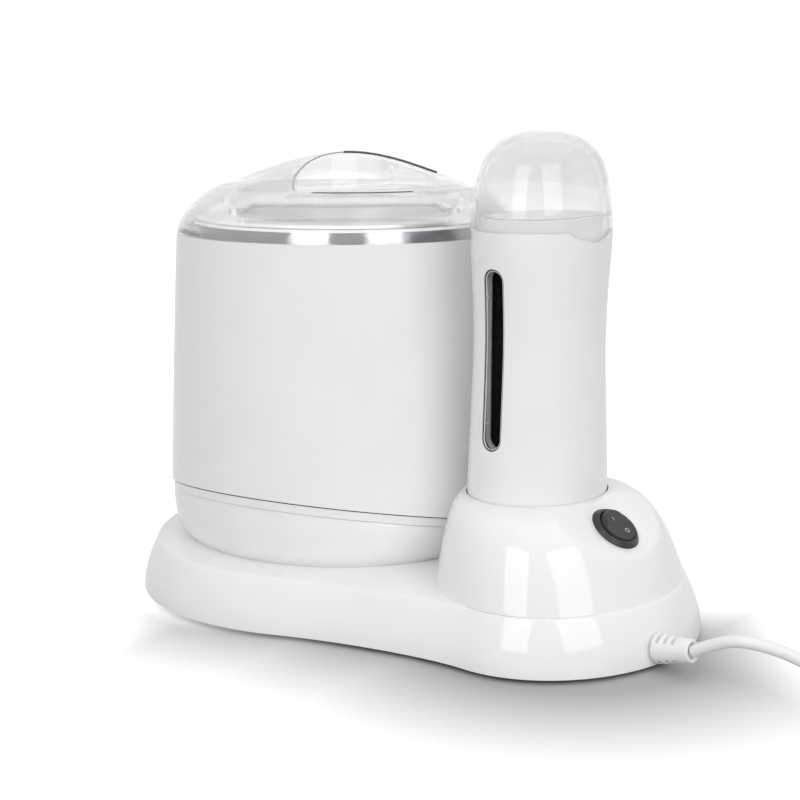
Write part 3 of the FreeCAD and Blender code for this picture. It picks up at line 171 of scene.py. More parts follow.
def clear_finish(name, face_on, edge_on):
    """Clear moulded plastic, which looks thicker and so darker where it is seen edge on."""
    material = finish(name, face_on, 0.01, rough_spread=0.01, tint_spread=0.0, grain_depth=0.000001,
                      Transmission_Weight=1.0, IOR=1.08, Alpha=0.6, Coat_Weight=1.0)
    tree = material.node_tree
    facing = tree.nodes.new("ShaderNodeLayerWeight")
    thicker = tree.nodes.new("ShaderNodeValToRGB")
    thicker.color_ramp.elements[0].position = EDGE_ON_FROM
    thicker.color_ramp.elements[0].color = (*face_on, 1)
    thicker.color_ramp.elements[1].position = 1.0
    thicker.color_ramp.elements[1].color = (*edge_on, 1)
    tree.links.new(facing.outputs["Facing"], thicker.inputs["Fac"])
    tree.links.new(thicker.outputs["Color"], tree.nodes["Principled BSDF"].inputs["Base Color"])
    return material


white_gloss = finish("white_gloss", (0.86, 0.862, 0.866), 0.05, rough_spread=0.03)
# painted light: the neck's white plastic, made lighter than the rest of the white shell so that the neck
# and its mouth look brightly lit
neck_white_lit = finish("neck_white_lit", (0.95, 0.952, 0.955), 0.08, rough_spread=0.03)
black_satin = finish("black_satin", (0.022, 0.022, 0.025), 0.34, grain=1500.0, grain_depth=0.00003)
soft_rubber = finish("soft_rubber", (0.10, 0.10, 0.105), 0.65, grain=1800.0, grain_depth=0.00004)
cord_vinyl = finish("cord_vinyl", (0.84, 0.84, 0.84), 0.30)
bright_steel = finish("bright_steel", (0.70, 0.695, 0.68), 0.15, metal=1.0, rough_spread=0.08)
brass_metal = finish("brass_metal", (0.80, 0.60, 0.30), 0.25, metal=1.0)
spun_aluminium = finish("spun_aluminium", (0.93, 0.93, 0.935), 0.30, metal=1.0, rough_spread=0.08)
heater_film = finish("heater_film", (0.45, 0.22, 0.06), 0.4)
glass_wool = finish("glass_wool", (0.72, 0.70, 0.62), 0.9, grain=900.0, grain_depth=0.0004)
ceramic_cream = finish("ceramic_cream", (0.74, 0.69, 0.58), 0.3)
clear_lid = clear_finish("clear_lid", (0.90, 0.903, 0.907), (0.50, 0.505, 0.51))
clear_cap = clear_finish("clear_cap", (0.72, 0.723, 0.727), (0.40, 0.405, 0.41))
bail_steel = finish("bail_steel", (0.50, 0.50, 0.495), 0.10, metal=1.0, rough_spread=0.04)
# painted shade: dark and grey lines laid along the lid's thick edges
painted_edge_dark = finish("painted_edge_dark", (0.12, 0.122, 0.125), 0.05, rough_spread=0.02,
                    Transmission_Weight=0.6, IOR=1.3)
painted_edge_grey = finish("painted_edge_grey", (0.50, 0.505, 0.51), 0.05, rough_spread=0.02,
                   Transmission_Weight=0.6, IOR=1.3)
window_clear = finish("window_clear", (0.90, 0.905, 0.91), 0.03, rough_spread=0.01,
                      grain_depth=0.000001, Transmission_Weight=1.0, IOR=1.08, Alpha=0.15)
bay_black = finish("bay_black", (0.008, 0.008, 0.009), 0.5, Specular_IOR_Level=0.0)
well_grey = finish("well_grey", (0.62, 0.62, 0.62), 0.3)
rim_black = finish("rim_black", (0.015, 0.015, 0.016), 0.08)
dark_ring_metal = finish("dark_ring_metal", (0.37, 0.37, 0.38), 0.08, metal=1.0, rough_spread=0.03)
mark_grey = finish("mark_grey", (0.50, 0.50, 0.51), 0.5)

SLOT_FINISH = {
    "white_plastic": white_gloss, "black_plastic": black_satin, "rubber": soft_rubber,
    "steel": bright_steel, "brass": brass_metal, "aluminium": spun_aluminium, "heater": heater_film,
    "insulation": glass_wool, "cream_ceramic": ceramic_cream, "cord_plastic": cord_vinyl,
    "clear_plastic": clear_lid, "smoked_plastic": window_clear,
}
for part in frame["record"]["subparts"]:
    node = frame["nodes"][part["node"]]
    node.data.materials.clear()
    node.data.materials.append(SLOT_FINISH[part["material_slot"]])
mains_cord.data.materials.append(cord_vinyl)

# ---------------------------------------------------------------- ways of working
SHELL_ANGLE = math.radians(28.0)    # edges sharper than this stay sharp
PIECE_ANGLE = math.radians(35.0)
BEVEL_ANGLE = math.radians(30.0)
WELD = 0.000002


def pick_alone(piece):
    """Make the piece the only selected and the active object."""
    bpy.ops.object.select_all(action="DESELECT")
    bpy.context.view_layer.objects.active = piece
    piece.select_set(True)


def copied_object(name, source):
    """A new object in the scene with its own copy of the source's mesh."""
    piece = bpy.data.objects.new(name, source.data.copy())
    bpy.context.scene.collection.objects.link(piece)
    return piece


def begin(name, adder, **settings):
    """Add a primitive as the only selected object and open it for editing."""
    bpy.ops.object.select_all(action="DESELECT")
    adder(**settings)
    piece = bpy.context.object
    piece.name = name
    bpy.ops.object.mode_set(mode="EDIT")
    bpy.ops.mesh.select_all(action="SELECT")
    return piece


def select_where(piece, kind, wanted):
    """Select the vertices or faces for which wanted(centre) is true, and go on editing."""
    bpy.ops.mesh.select_mode(type=kind)
    bpy.ops.mesh.select_all(action="DESELECT")
    bpy.ops.object.mode_set(mode="OBJECT")
    if kind == "VERT":
        for vertex in piece.data.vertices:
            vertex.select = wanted(vertex.co)
    else:
        for face in piece.data.polygons:
            face.select = wanted(face.center)
    bpy.ops.object.mode_set(mode="EDIT")


def pull_rings(profile):
    """Draw the selected ring up through (height, radius) pairs, the first of which it already has."""
    for (low, before), (high, after) in zip(profile, profile[1:]):
        bpy.ops.mesh.extrude_edges_move(TRANSFORM_OT_translate={"value": (0.0, 0.0, high - low)})
        bpy.ops.transform.resize(value=(after / before, after / before, 1.0))


def turn_out():
    """Let every face of the piece that is being edited point outwards."""
    bpy.ops.mesh.select_all(action="SELECT")
    bpy.ops.mesh.normals_make_consistent(inside=False)


def raise_all(height):
    """Give the flat shape that is being edited its thickness."""
    bpy.ops.mesh.select_all(action="SELECT")
    bpy.ops.mesh.extrude_region_move(TRANSFORM_OT_translate={"value": (0.0, 0.0, height)})


def open_band(width):
    """Turn the selected outline into a flat band of this width."""
    bpy.ops.mesh.edge_face_add()
    bpy.ops.mesh.inset(thickness=width)
    bpy.ops.mesh.delete(type="FACE")


def thicken(piece, thickness):
    """Give an open sheet its thickness, half to each side, and turn its faces out."""
    bpy.ops.object.mode_set(mode="OBJECT")
    thick = piece.modifiers.new("thick", "SOLIDIFY")
    thick.thickness = thickness
    thick.offset = 0.0
    bpy.ops.object.modifier_apply(modifier=thick.name)
    bpy.ops.object.mode_set(mode="EDIT")
    turn_out()


def soften(piece, width, segments=2):
    """Round the piece's sharp edges."""
    bpy.ops.object.mode_set(mode="OBJECT")
    bevel = piece.modifiers.new("soft_edges", "BEVEL")
    bevel.width = width
    bevel.segments = segments
    bevel.limit_method = "ANGLE"
    bevel.angle_limit = BEVEL_ANGLE
    bpy.ops.object.modifier_apply(modifier=bevel.name)


def settle(piece, place, body, material, replaces=()):
    if bpy.context.mode != "OBJECT":
        bpy.ops.object.mode_set(mode="OBJECT")
    bpy.ops.object.select_all(action="DESELECT")
    piece.select_set(True)
    bpy.context.view_layer.objects.active = piece
    piece.matrix_world = place
    bpy.ops.object.transform_apply(location=True, rotation=True, scale=True)
    bpy.ops.object.shade_smooth_by_angle(angle=PIECE_ANGLE)
    piece.data.materials.clear()
    piece.data.materials.append(material)
    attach(piece, body)
    if replaces:
        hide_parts(*replaces)


def frame_of(x_axis, y_axis, z_axis, origin):
    return Matrix.Translation(origin) @ Matrix((x_axis, y_axis, z_axis)).transposed().to_4x4()


def flat_stadium(name, half_width, straight, corners):
    """Outline with round ends, drawn out along Y by half of its straight length to each side."""
    piece = begin(name, bpy.ops.mesh.primitive_circle_add, vertices=corners, radius=half_width,
                  rotation=(0.0, 0.0, math.pi / corners))
    bpy.ops.object.mode_set(mode="OBJECT")
    bpy.ops.object.transform_apply(rotation=True)
    bpy.ops.object.mode_set(mode="EDIT")
    for side in (1, -1):
        select_where(piece, "VERT", lambda place: side * place.y > 0.0)
        bpy.ops.transform.translate(value=(0.0, side * straight, 0.0))
    return piece


# ---------------------------------------------------------------- shells taken over from the solids
def smooth_copy(node_name, body, material):
    """The solid's own shape as one closed, smoothly shaded mesh."""
    piece = copied_object(node_name + "_shell", frame["nodes"][node_name])
    pick_alone(piece)
    bpy.ops.object.mode_set(mode="EDIT")
    bpy.ops.mesh.select_all(action="SELECT")
    bpy.ops.mesh.remove_doubles(threshold=WELD)
    bpy.ops.mesh.customdata_custom_splitnormals_clear()
    bpy.ops.object.mode_set(mode="OBJECT")
    bpy.ops.object.shade_smooth_by_angle(angle=SHELL_ANGLE)
    piece.data.materials.clear()
    piece.data.materials.append(material)
    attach(piece, body)
    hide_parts(node_name)


for node_name, body, slot, material in (
        ("base_cover", "housing", "white_plastic", white_gloss),
        ("pedestal", "housing", "white_plastic", white_gloss),
        ("pot_shell", "housing", "white_plastic", white_gloss),
        ("pot_band", "housing", "white_plastic", white_gloss),
        ("pot_bowl", "housing", "white_plastic", white_gloss),
        ("pot_collar", "housing", "white_plastic", white_gloss),
        ("inner_pot", "pot", "aluminium", spun_aluminium),
        ("bail", "bail_handle", "steel", bail_steel),
        ("lid", "pot_lid", "clear_plastic", clear_lid),
        ("hand_shell", "handpiece", "white_plastic", white_gloss),
        ("hand_window", "handpiece", "smoked_plastic", window_clear),
        ("neck_plate", "handpiece", "white_plastic", neck_white_lit),
        ("cap", "hand_cap", "clear_plastic", clear_cap),
        ("switch_body", "housing", "black_plastic", black_satin),
        ("switch_rocker", "rocker", "black_plastic", black_satin),
        ("plug_body", "housing", "cord_plastic", cord_vinyl)):
    smooth_copy(node_name, body, material)

# ---------------------------------------------------------------- seams of the pot
# an open groove under the shell, and a fine line between band and bowl
SEAM_LEAN = math.radians(12.1)
SEAM_TURN = math.radians(-78.2)
SEAM_RISE = 0.013           # above the base, at the pot's middle
SEAM_AT = Vector((POT_X, 0.0, DECK_Z + SEAM_RISE))
BAND_TOP_DROP = 0.00025
BOWL_TOP_DROP = 0.00485
GROOVE_OPENED = 0.0005      # further than in the solids
BOWL_TOP_SHRINK = 0.993
ON_SEAM = 0.00002           # how near a corner lies to count as on the seam
seam_up = Vector((-math.sin(SEAM_LEAN) * math.cos(SEAM_TURN),
                  -math.sin(SEAM_LEAN) * math.sin(SEAM_TURN), math.cos(SEAM_LEAN)))
for name, drop, move, shrink in (("pot_band_shell", BAND_TOP_DROP, -GROOVE_OPENED, 1.0),
                                 ("pot_bowl_shell", BOWL_TOP_DROP, 0.0, BOWL_TOP_SHRINK)):
    piece = bpy.data.objects[name]
    pick_alone(piece)
    bpy.ops.object.mode_set(mode="EDIT")
    select_where(piece, "VERT", lambda place: abs(
        (place - SEAM_AT).dot(seam_up) + drop * math.cos(SEAM_LEAN)) < ON_SEAM)
    bpy.ops.transform.translate(value=seam_up * move)
    bpy.ops.transform.resize(value=(shrink, shrink, 1.0), center_override=SEAM_AT)
    bpy.ops.object.mode_set(mode="OBJECT")

# ---------------------------------------------------------------- strain relief
# collar, three pairs of slots and a hollow end
RELIEF_AT = Vector((0.13914, -0.0090, 0.0086))
RELIEF_TILT = math.radians(10.0)
RELIEF_PROFILE = (          # height and radius
    (-0.0060, 0.0046), (-0.0036, 0.0046), (-0.0035, 0.0036), (0.0005, 0.0036), (0.0006, 0.0061),
    (0.0010, 0.0064), (0.0026, 0.0064), (0.0041, 0.0062), (0.0060, 0.0060), (0.0075, 0.0058),
    (0.0094, 0.0056), (0.0109, 0.0054), (0.0135, 0.0051), (0.0169, 0.0049), (0.0173, 0.0046),
    (0.0173, 0.0038), (0.0165, 0.0031), (0.0155, 0.0028))
RELIEF_SIDES = 48
RELIEF_SOFT = 0.00022
SLOT_RINGS = ((0.0026, 0.0041), (0.0060, 0.0075), (0.0094, 0.0109))
SLOT_HALF_ANGLE = math.radians(54.0)
SLOT_MIN_RADIUS = 0.004     # keeps the hollow end and the end faces out
SLOT_DEPTH = 0.0022


def in_slot(centre):
    out = math.hypot(centre.x, centre.y)
    if out < SLOT_MIN_RADIUS:
        return False
    off_vertical = math.asin(min(abs(centre.x) / out, 1.0))
    return off_vertical < SLOT_HALF_ANGLE and any(low < centre.z < high for low, high in SLOT_RINGS)


relief = begin("strain_relief_body", bpy.ops.mesh.primitive_circle_add, vertices=RELIEF_SIDES,
               radius=RELIEF_PROFILE[0][1], location=(0.0, 0.0, RELIEF_PROFILE[0][0]))
bpy.ops.object.mode_set(mode="OBJECT")
bpy.ops.object.transform_apply(location=True)
bpy.ops.object.mode_set(mode="EDIT")
bpy.ops.mesh.select_all(action="SELECT")
pull_rings(RELIEF_PROFILE)
bpy.ops.mesh.select_all(action="SELECT")
bpy.ops.mesh.fill_holes(sides=0)
turn_out()
select_where(relief, "FACE", in_slot)
bpy.ops.mesh.extrude_region_shrink_fatten(TRANSFORM_OT_shrink_fatten={"value": -SLOT_DEPTH})
soften(relief, RELIEF_SOFT)
along = Vector((math.cos(RELIEF_TILT), 0.0, math.sin(RELIEF_TILT)))
sideways = Vector((0.0, 1.0, 0.0))
settle(relief, frame_of(sideways, along.cross(sideways), along, RELIEF_AT), "housing",
       cord_vinyl, ["strain_relief"])

# ---------------------------------------------------------------- window in the handpiece
WINDOW_HALF = 0.0052
WINDOW_LOW = 0.0844
WINDOW_HIGH = 0.1614
WINDOW_SIDES = 32
WINDOW_CUTS = 15            # along each straight side, so that a band can follow the shell
IN_FRONT = -0.045           # clear of the shell, before a band is laid on it
WELL_Y = -0.0292
WELL_DEPTH = 0.0024
WELL_WALL = 0.0006
WELL_ROOM = 0.0001          # wider than the window
ON_STRAIGHT = 0.99          # share of the half width from which a corner ends a straight side


def upright_stadium(name, half, y):
    """Upright stadium outline in the plane y, with steps along its straight sides."""
    piece = flat_stadium(name, half, (WINDOW_HIGH - WINDOW_LOW) / 2 - WINDOW_HALF, WINDOW_SIDES)
    select_where(piece, "VERT", lambda place: abs(place.x) > ON_STRAIGHT * half)
    bpy.ops.mesh.subdivide(number_cuts=WINDOW_CUTS)
    bpy.ops.mesh.select_all(action="SELECT")
    bpy.ops.transform.rotate(value=math.radians(-90.0), orient_axis="X", center_override=(0.0, 0.0, 0.0))
    bpy.ops.transform.translate(value=(HAND_X, y, (WINDOW_HIGH + WINDOW_LOW) / 2))
    return piece


def window_band(name, inside, width, thickness, material):
    """A thin band laid on the window's lens, its outer edge this far inside the window's outline."""
    band = upright_stadium(name, WINDOW_HALF - inside, IN_FRONT)
    open_band(width)
    bpy.ops.object.mode_set(mode="OBJECT")
    drape = band.modifiers.new("drape", "SHRINKWRAP")
    drape.target = bpy.data.objects["hand_window_shell"]
    drape.wrap_method = "PROJECT"
    drape.use_project_y = True
    drape.use_positive_direction = True
    drape.use_negative_direction = True
    bpy.ops.object.modifier_apply(modifier=drape.name)
    thicken(band, thickness)
    settle(band, Matrix.Identity(4), "handpiece", material)


# dark rim on the lens, and a pale well behind it
window_band("window_rim", inside=0.00008, width=0.0005, thickness=0.0007,
            material=rim_black)
well = upright_stadium("window_well", WINDOW_HALF + WELL_ROOM, WELL_Y)
bpy.ops.mesh.extrude_edges_move(TRANSFORM_OT_translate={"value": (0.0, WELL_DEPTH, 0.0)})
thicken(well, WELL_WALL)
settle(well, Matrix.Identity(4), "handpiece", well_grey)

# dark liner of the cartridge bay
BAY_HALF_X = 0.0164
BAY_HALF_Y = 0.0264
LINER_Z = 0.0652            # just above the bay's floor
BAY_SIDES = 64
LINER_HEIGHT = 0.1000
LINER_FLOOR = 0.0005
LINER_WALL = 0.0003
liner = flat_stadium("bay_liner", BAY_HALF_X, BAY_HALF_Y - BAY_HALF_X, BAY_SIDES)
bpy.ops.mesh.select_all(action="SELECT")
bpy.ops.mesh.edge_face_add()
bpy.ops.mesh.extrude_region_move(TRANSFORM_OT_translate={"value": (0.0, 0.0, LINER_HEIGHT)})
bpy.ops.mesh.inset(thickness=LINER_WALL)
bpy.ops.mesh.extrude_region_move(TRANSFORM_OT_translate={"value": (0.0, 0.0, LINER_FLOOR - LINER_HEIGHT)})
turn_out()
settle(liner, Matrix.Translation((HAND_X, 0.0, LINER_Z)), "handpiece", bay_black)

# level marks beside the window's left edge, modelled once and copied
LEVEL_MARKS = (0.0962, 0.1216, 0.1499)
LEVEL_MARK_SIZE = (0.0022, 0.0004, 0.00035)
LEVEL_MARK_SOFT = 0.00008
LEVEL_MARK_X = HAND_X - 0.0034
LEVEL_MARK_Y = -0.0312
first_mark = begin("level_mark_1", bpy.ops.mesh.primitive_cube_add, size=1.0)
bpy.ops.transform.resize(value=LEVEL_MARK_SIZE)
soften(first_mark, LEVEL_MARK_SOFT, 1)
bpy.ops.object.mode_set(mode="EDIT")
turn_out()
bpy.ops.object.mode_set(mode="OBJECT")
further_marks = [copied_object("level_mark_%d" % number, first_mark) for number in (2, 3)]
for mark, height in zip([first_mark, *further_marks], LEVEL_MARKS):
    settle(mark, Matrix.Translation((LEVEL_MARK_X, LEVEL_MARK_Y, height)), "handpiece",
           mark_grey)

# painted highlight: thin white band along the inner edge of the window's rim, where the lens's edge
# catches the light
window_band("window_line", inside=0.00062, width=0.00026, thickness=0.0004,
            material=white_gloss)

# ---------------------------------------------------------------- mouth of the neck
NECK_SIDES = 96
NECK_STRAIGHT = 0.0100
LIP_HALF_X = 0.0181
LIP_WIDTH = 0.0012
LIP_HEIGHT = 0.0008
LIP_SOFT = 0.0003
THROAT_HALF_X = 0.0171
THROAT_DEEP = 0.009
THROAT_TAPER = (0.72, 0.82, 1.0)
THROAT_WALL = 0.0008
THROAT_TOP = 0.1820
lip = flat_stadium("neck_lip", LIP_HALF_X, NECK_STRAIGHT, NECK_SIDES)
bpy.ops.mesh.select_all(action="SELECT")
open_band(LIP_WIDTH)
raise_all(LIP_HEIGHT)
turn_out()
soften(lip, LIP_SOFT)
settle(lip, Matrix.Translation((HAND_X, 0.0, NECK_TOP)), "handpiece", neck_white_lit)

# tapered throat inside the neck
throat = flat_stadium("neck_throat", THROAT_HALF_X, NECK_STRAIGHT, NECK_SIDES)
bpy.ops.mesh.select_all(action="SELECT")
bpy.ops.mesh.extrude_edges_move(TRANSFORM_OT_translate={"value": (0.0, 0.0, -THROAT_DEEP)})
bpy.ops.transform.resize(value=THROAT_TAPER)
thicken(throat, THROAT_WALL)
settle(throat, Matrix.Translation((HAND_X, 0.0, THROAT_TOP)), "handpiece", neck_white_lit)

# ---------------------------------------------------------------- trim and edges of the pot and its lid
# dark metal ring round the pot's collar, seen through the lid's skirt: painted shade for the skirt's dark
# band, with the lamps' reflections on it rendered
DARK_RING_PROFILE = ((0.1664, 0.0723), (0.1664, 0.0744), (0.1734, 0.0726), (0.1734, 0.0723))
DARK_RING_SIDES = 128
dark_ring = begin("collar_trim", bpy.ops.mesh.primitive_circle_add, vertices=DARK_RING_SIDES,
             radius=DARK_RING_PROFILE[0][1])
pull_rings(DARK_RING_PROFILE)
bpy.ops.mesh.select_non_manifold()
bpy.ops.mesh.bridge_edge_loops()
turn_out()
settle(dark_ring, Matrix.Translation((POT_X, 0.0, DARK_RING_PROFILE[0][0])), "housing", dark_ring_metal)

# painted shade: thin dark and grey lines along the thick edges of one of the lid's finger scoops, where
# the clear lid looks dark edge on; only along the lid's front
SCOOP_R = 0.056
SCOOP_AT = 0.058
SCOOP_TURN = math.radians(-10.0)
SHELF_Z = 0.190
FRONT_SIDE = Vector((0.73, 0.68, 0.0))      # along the front of the lid, to the right
FOLD = 0.94                 # cosine of the angle past which an edge counts as sharp
ON_RIM = 0.00005
ABOVE_SHELF = 0.0002
ON_SHELF = 0.0001
INSIDE_RIM = 0.0005
scoop_middle = Vector((POT_X + SCOOP_AT * math.cos(SCOOP_TURN), SCOOP_AT * math.sin(SCOOP_TURN), 0.0))


def along_front(end):
    return (end - Vector((POT_X, 0.0, 0.0))).dot(FRONT_SIDE)


def from_scoop_middle(end):
    return (Vector((end.x, end.y, 0.0)) - scoop_middle).length


def on_scoop_rim(end):
    return abs(from_scoop_middle(end) - SCOOP_R) < ON_RIM and end.z > SHELF_Z + ABOVE_SHELF


def on_shelf_front(end):
    return abs(end.z - SHELF_Z) < ON_SHELF and from_scoop_middle(end) < SCOOP_R - INSIDE_RIM


def sharp_edges(mesh, on_line, reach):
    """The keys of the folded edges on the line, between two places along the lid's front."""
    normals_at = {}
    for face in mesh.polygons:
        for key in face.edge_keys:
            normals_at.setdefault(key, []).append(face.normal)
    found = set()
    for key, normals in normals_at.items():
        ends = [mesh.vertices[index].co for index in key]
        wanted = all(on_line(end) and reach[0] < along_front(end) < reach[1] for end in ends)
        if wanted and len(normals) == 2 and normals[0].dot(normals[1]) < FOLD:
            found.add(key)
    return found


def painted_edge_line(name, on_line, reach, thickness, look):
    """A thin round line of painted shade that follows a sharp edge of the lid."""
    bead = copied_object(name, bpy.data.objects["lid_shell"])
    pick_alone(bead)
    kept = sharp_edges(bead.data, on_line, reach)
    bpy.ops.object.mode_set(mode="EDIT")
    bpy.ops.mesh.select_mode(type="EDGE")
    bpy.ops.mesh.select_all(action="DESELECT")
    bpy.ops.object.mode_set(mode="OBJECT")
    for edge in bead.data.edges:
        edge.select = edge.key in kept
    bpy.ops.object.mode_set(mode="EDIT")
    bpy.ops.mesh.select_all(action="INVERT")
    bpy.ops.mesh.delete(type="EDGE")
    bpy.ops.object.mode_set(mode="OBJECT")
    bpy.ops.object.convert(target="CURVE")
    bead.data.bevel_depth = thickness
    bead.data.bevel_resolution = 2
    bead.data.use_fill_caps = True
    bpy.ops.object.convert(target="MESH")
    bpy.ops.object.mode_set(mode="EDIT")
    turn_out()
    settle(bead, Matrix.Identity(4), "pot_lid", look)


painted_edge_line("lid_edge_light", on_scoop_rim, reach=(-1.0, -0.0003), thickness=0.0003, look=painted_edge_grey)
painted_edge_line("lid_edge_dark", on_scoop_rim, reach=(-0.0003, 0.0447), thickness=0.00055, look=painted_edge_dark)
painted_edge_line("lid_shelf_edge", on_shelf_front, reach=(-0.014, 0.034), thickness=0.00025, look=painted_edge_dark)

# ---------------------------------------------------------------- on and off marks on the rocker
SWITCH_OUT = 0.0418         # from the handpiece's middle
SWITCH_BELOW = 0.0104       # from the top of the pedestal
SWITCH_AT = Vector((HAND_X + SWITCH_OUT, 0.0, SOCKET_Z - SWITCH_BELOW))
PANEL_LEAN = math.radians(36.0)
SWITCH_TURN = math.radians(26.0)
ROCKER_TILT = math.radians(7.0)
ROCKER_PIVOT = -0.0012
ROCKER_TOP = 0.0027
MARK_FROM_MIDDLE = 0.0038
BAR_SIZE = (0.0019, 0.00036, 0.00014)
BAR_SOFT = 0.00004
RING_R = 0.00112
RING_WIDTH = 0.00034
RING_HEIGHT = 0.00007
RING_SIDES = 32
panel = frame_of(Vector((math.cos(PANEL_LEAN), 0.0, -math.sin(PANEL_LEAN))), Vector((0.0, 1.0, 0.0)),
                 Vector((math.sin(PANEL_LEAN), 0.0, math.cos(PANEL_LEAN))), SWITCH_AT)
pivot = Matrix.Translation((0.0, 0.0, ROCKER_PIVOT))
tipped = pivot @ Matrix.Rotation(ROCKER_TILT, 4, "Y") @ pivot.inverted()
on_rocker = panel @ Matrix.Rotation(SWITCH_TURN, 4, "Z") @ tipped


def rocker_face(side):
    """Frame on one of the rocker's two flats, its Z axis out of the flat."""
    rise = ROCKER_TOP + MARK_FROM_MIDDLE * math.tan(ROCKER_TILT)
    return (on_rocker @ Matrix.Translation((side * MARK_FROM_MIDDLE, 0.0, rise))
            @ Matrix.Rotation(-side * ROCKER_TILT, 4, "Y"))


bar = begin("mark_on", bpy.ops.mesh.primitive_cube_add, size=1.0)
bpy.ops.transform.resize(value=BAR_SIZE)
soften(bar, BAR_SOFT, 1)
settle(bar, rocker_face(-1), "rocker", mark_grey)
ring = begin("mark_off", bpy.ops.mesh.primitive_circle_add, vertices=RING_SIDES, radius=RING_R)
open_band(RING_WIDTH)
raise_all(RING_HEIGHT)
turn_out()
settle(ring, rocker_face(1), "rocker", mark_grey)

# ---------------------------------------------------------------- floor, world and lamps
FLOOR_SIZE = 6.0
FLOOR_Z = -0.0001
FLOOR_GREY = 0.43
FLOOR_ROUGH = 0.8
FLOOR_SPECULAR = 0.2
SHADOW_REACH = 0.11         # the floor has turned plain white this far from the base
FOOTPRINT = (((POT_X, 0.0, 0.0), 0.088), ((0.0200, 0.0, 0.0), 0.074), ((LOBE_X, 0.0, 0.0), 0.071))
TO_THE_SIDE = (0.73, 0.68, 0.0)     # the camera's right, laid on the floor
TO_THE_BACK = (-0.68, 0.73, 0.0)    # away from the camera
SIDE_MIDDLE = 0.012
SIDE_FADE = (0.095, 0.175)
BACK_FADE = (-0.085, 0.010)
WORLD_LEVEL = 0.66
GLOSSY_SHARE = 0.5          # how far glossy rays go from the diffuse level towards plain white
LAMP_AIM = Vector((0.0, 0.0, 0.1))


def maths(tree, operation, first, second):
    """A Math node's output.  Each input is a number or another node's output."""
    node = tree.nodes.new("ShaderNodeMath")
    node.operation = operation
    for socket, value in zip(node.inputs, (first, second)):
        if isinstance(value, float):
            socket.default_value = value
        else:
            tree.links.new(value, socket)
    return node.outputs["Value"]


def measured(tree, operation, place, vector):
    """The distance of a place from a point, or its dot product with a direction."""
    node = tree.nodes.new("ShaderNodeVectorMath")
    node.operation = operation
    node.inputs[1].default_value = vector
    tree.links.new(place, node.inputs[0])
    return node.outputs["Value"]


def ramp(tree, value, low, high, kind):
    """0 up to the low value, 1 from the high value on."""
    node = tree.nodes.new("ShaderNodeMapRange")
    node.interpolation_type = kind
    node.inputs["From Min"].default_value = low
    node.inputs["From Max"].default_value = high
    tree.links.new(value, node.inputs["Value"])
    return node.outputs["Result"]


def shown_rays(tree):
    """1 for camera and transmission rays, which see plain white, and GLOSSY_SHARE for glossy rays."""
    rays = tree.nodes.new("ShaderNodeLightPath").outputs
    total = maths(tree, "MULTIPLY", rays["Is Glossy Ray"], GLOSSY_SHARE)
    for kind in ("Is Camera Ray", "Is Transmission Ray"):
        total = maths(tree, "MAXIMUM", total, rays[kind])
    return total


def softbox(name, azimuth, elevation, distance, width, height, level):
    """A rectangular lamp that faces the object.  level is how bright its face looks, white being 1."""
    light = bpy.data.lights.new(name, "AREA")
    light.shape = "RECTANGLE"
    light.size = width
    light.size_y = height
    light.energy = math.pi * width * height * level
    holder = bpy.data.objects.new(name, light)
    bpy.context.scene.collection.objects.link(holder)
    turn = math.radians(azimuth)
    rise = math.radians(elevation)
    out = Vector((math.cos(rise) * math.cos(turn), math.cos(rise) * math.sin(turn), math.sin(rise)))
    holder.location = LAMP_AIM + out * distance
    holder.rotation_euler = (-out).to_track_quat("-Z", "Y").to_euler()


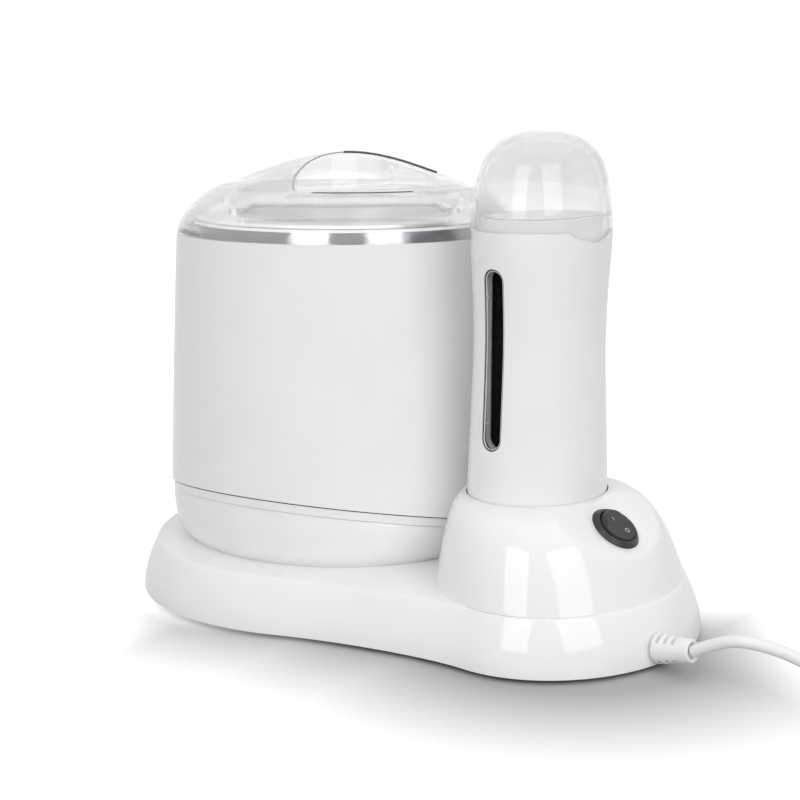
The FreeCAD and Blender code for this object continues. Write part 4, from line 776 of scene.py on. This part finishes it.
bpy.ops.object.select_all(action="DESELECT")
bpy.ops.mesh.primitive_plane_add(size=FLOOR_SIZE, location=(0.0, 0.0, FLOOR_Z))
floor = bpy.context.object
floor.name = "floor"
paper = bpy.data.materials.new("paper")
paper.use_nodes = True
tree = paper.node_tree
shader = tree.nodes["Principled BSDF"]
shader.inputs["Base Color"].default_value = (FLOOR_GREY, FLOOR_GREY, FLOOR_GREY, 1)
shader.inputs["Roughness"].default_value = FLOOR_ROUGH
shader.inputs["Specular IOR Level"].default_value = FLOOR_SPECULAR
shader.inputs["Emission Color"].default_value = (1, 1, 1, 1)

# painted light and shade: the floor glows white away from the base, at the sides and behind as seen from
# the camera; near the base the glow is off, so the grey floor and its rendered shadow show there, and the
# glow sets where the shadow ends
place = tree.nodes.new("ShaderNodeTexCoord").outputs["Object"]
gap = None
for centre, radius in FOOTPRINT:
    outside = maths(tree, "SUBTRACT", measured(tree, "DISTANCE", place, centre), radius)
    gap = outside if gap is None else maths(tree, "MINIMUM", gap, outside)
across = measured(tree, "DOT_PRODUCT", place, TO_THE_SIDE)
beside = maths(tree, "ABSOLUTE", maths(tree, "SUBTRACT", across, SIDE_MIDDLE), 0.0)
behind = measured(tree, "DOT_PRODUCT", place, TO_THE_BACK)
faded = maths(tree, "MAXIMUM", ramp(tree, gap, 0.0, SHADOW_REACH, "LINEAR"),
              ramp(tree, beside, *SIDE_FADE, "SMOOTHSTEP"))
faded = maths(tree, "MAXIMUM", faded, ramp(tree, behind, *BACK_FADE, "SMOOTHSTEP"))
glow = maths(tree, "MULTIPLY", shown_rays(tree), faded)
tree.links.new(glow, shader.inputs["Emission Strength"])
floor.data.materials.append(paper)

world = bpy.data.worlds.new("studio")
bpy.context.scene.world = world
world.use_nodes = True
tree = world.node_tree
backdrop = tree.nodes["Background"]
backdrop.inputs["Color"].default_value = (1, 1, 1, 1)
strength = tree.nodes.new("ShaderNodeMix")
strength.data_type = "FLOAT"
strength.inputs["A"].default_value = WORLD_LEVEL
strength.inputs["B"].default_value = 1.0
tree.links.new(shown_rays(tree), strength.inputs["Factor"])
tree.links.new(strength.outputs["Result"], backdrop.inputs["Strength"])

softbox("front_left", azimuth=-72.0, elevation=28.0, distance=1.7, width=0.78, height=1.1, level=2.6)
softbox("front_right", azimuth=-15.0, elevation=28.0, distance=1.7, width=0.85, height=1.1, level=2.25)
softbox("top_panel", azimuth=40.0, elevation=78.0, distance=1.5, width=1.8, height=1.4, level=0.38)

bpy.context.scene.view_settings.view_transform = "Standard"
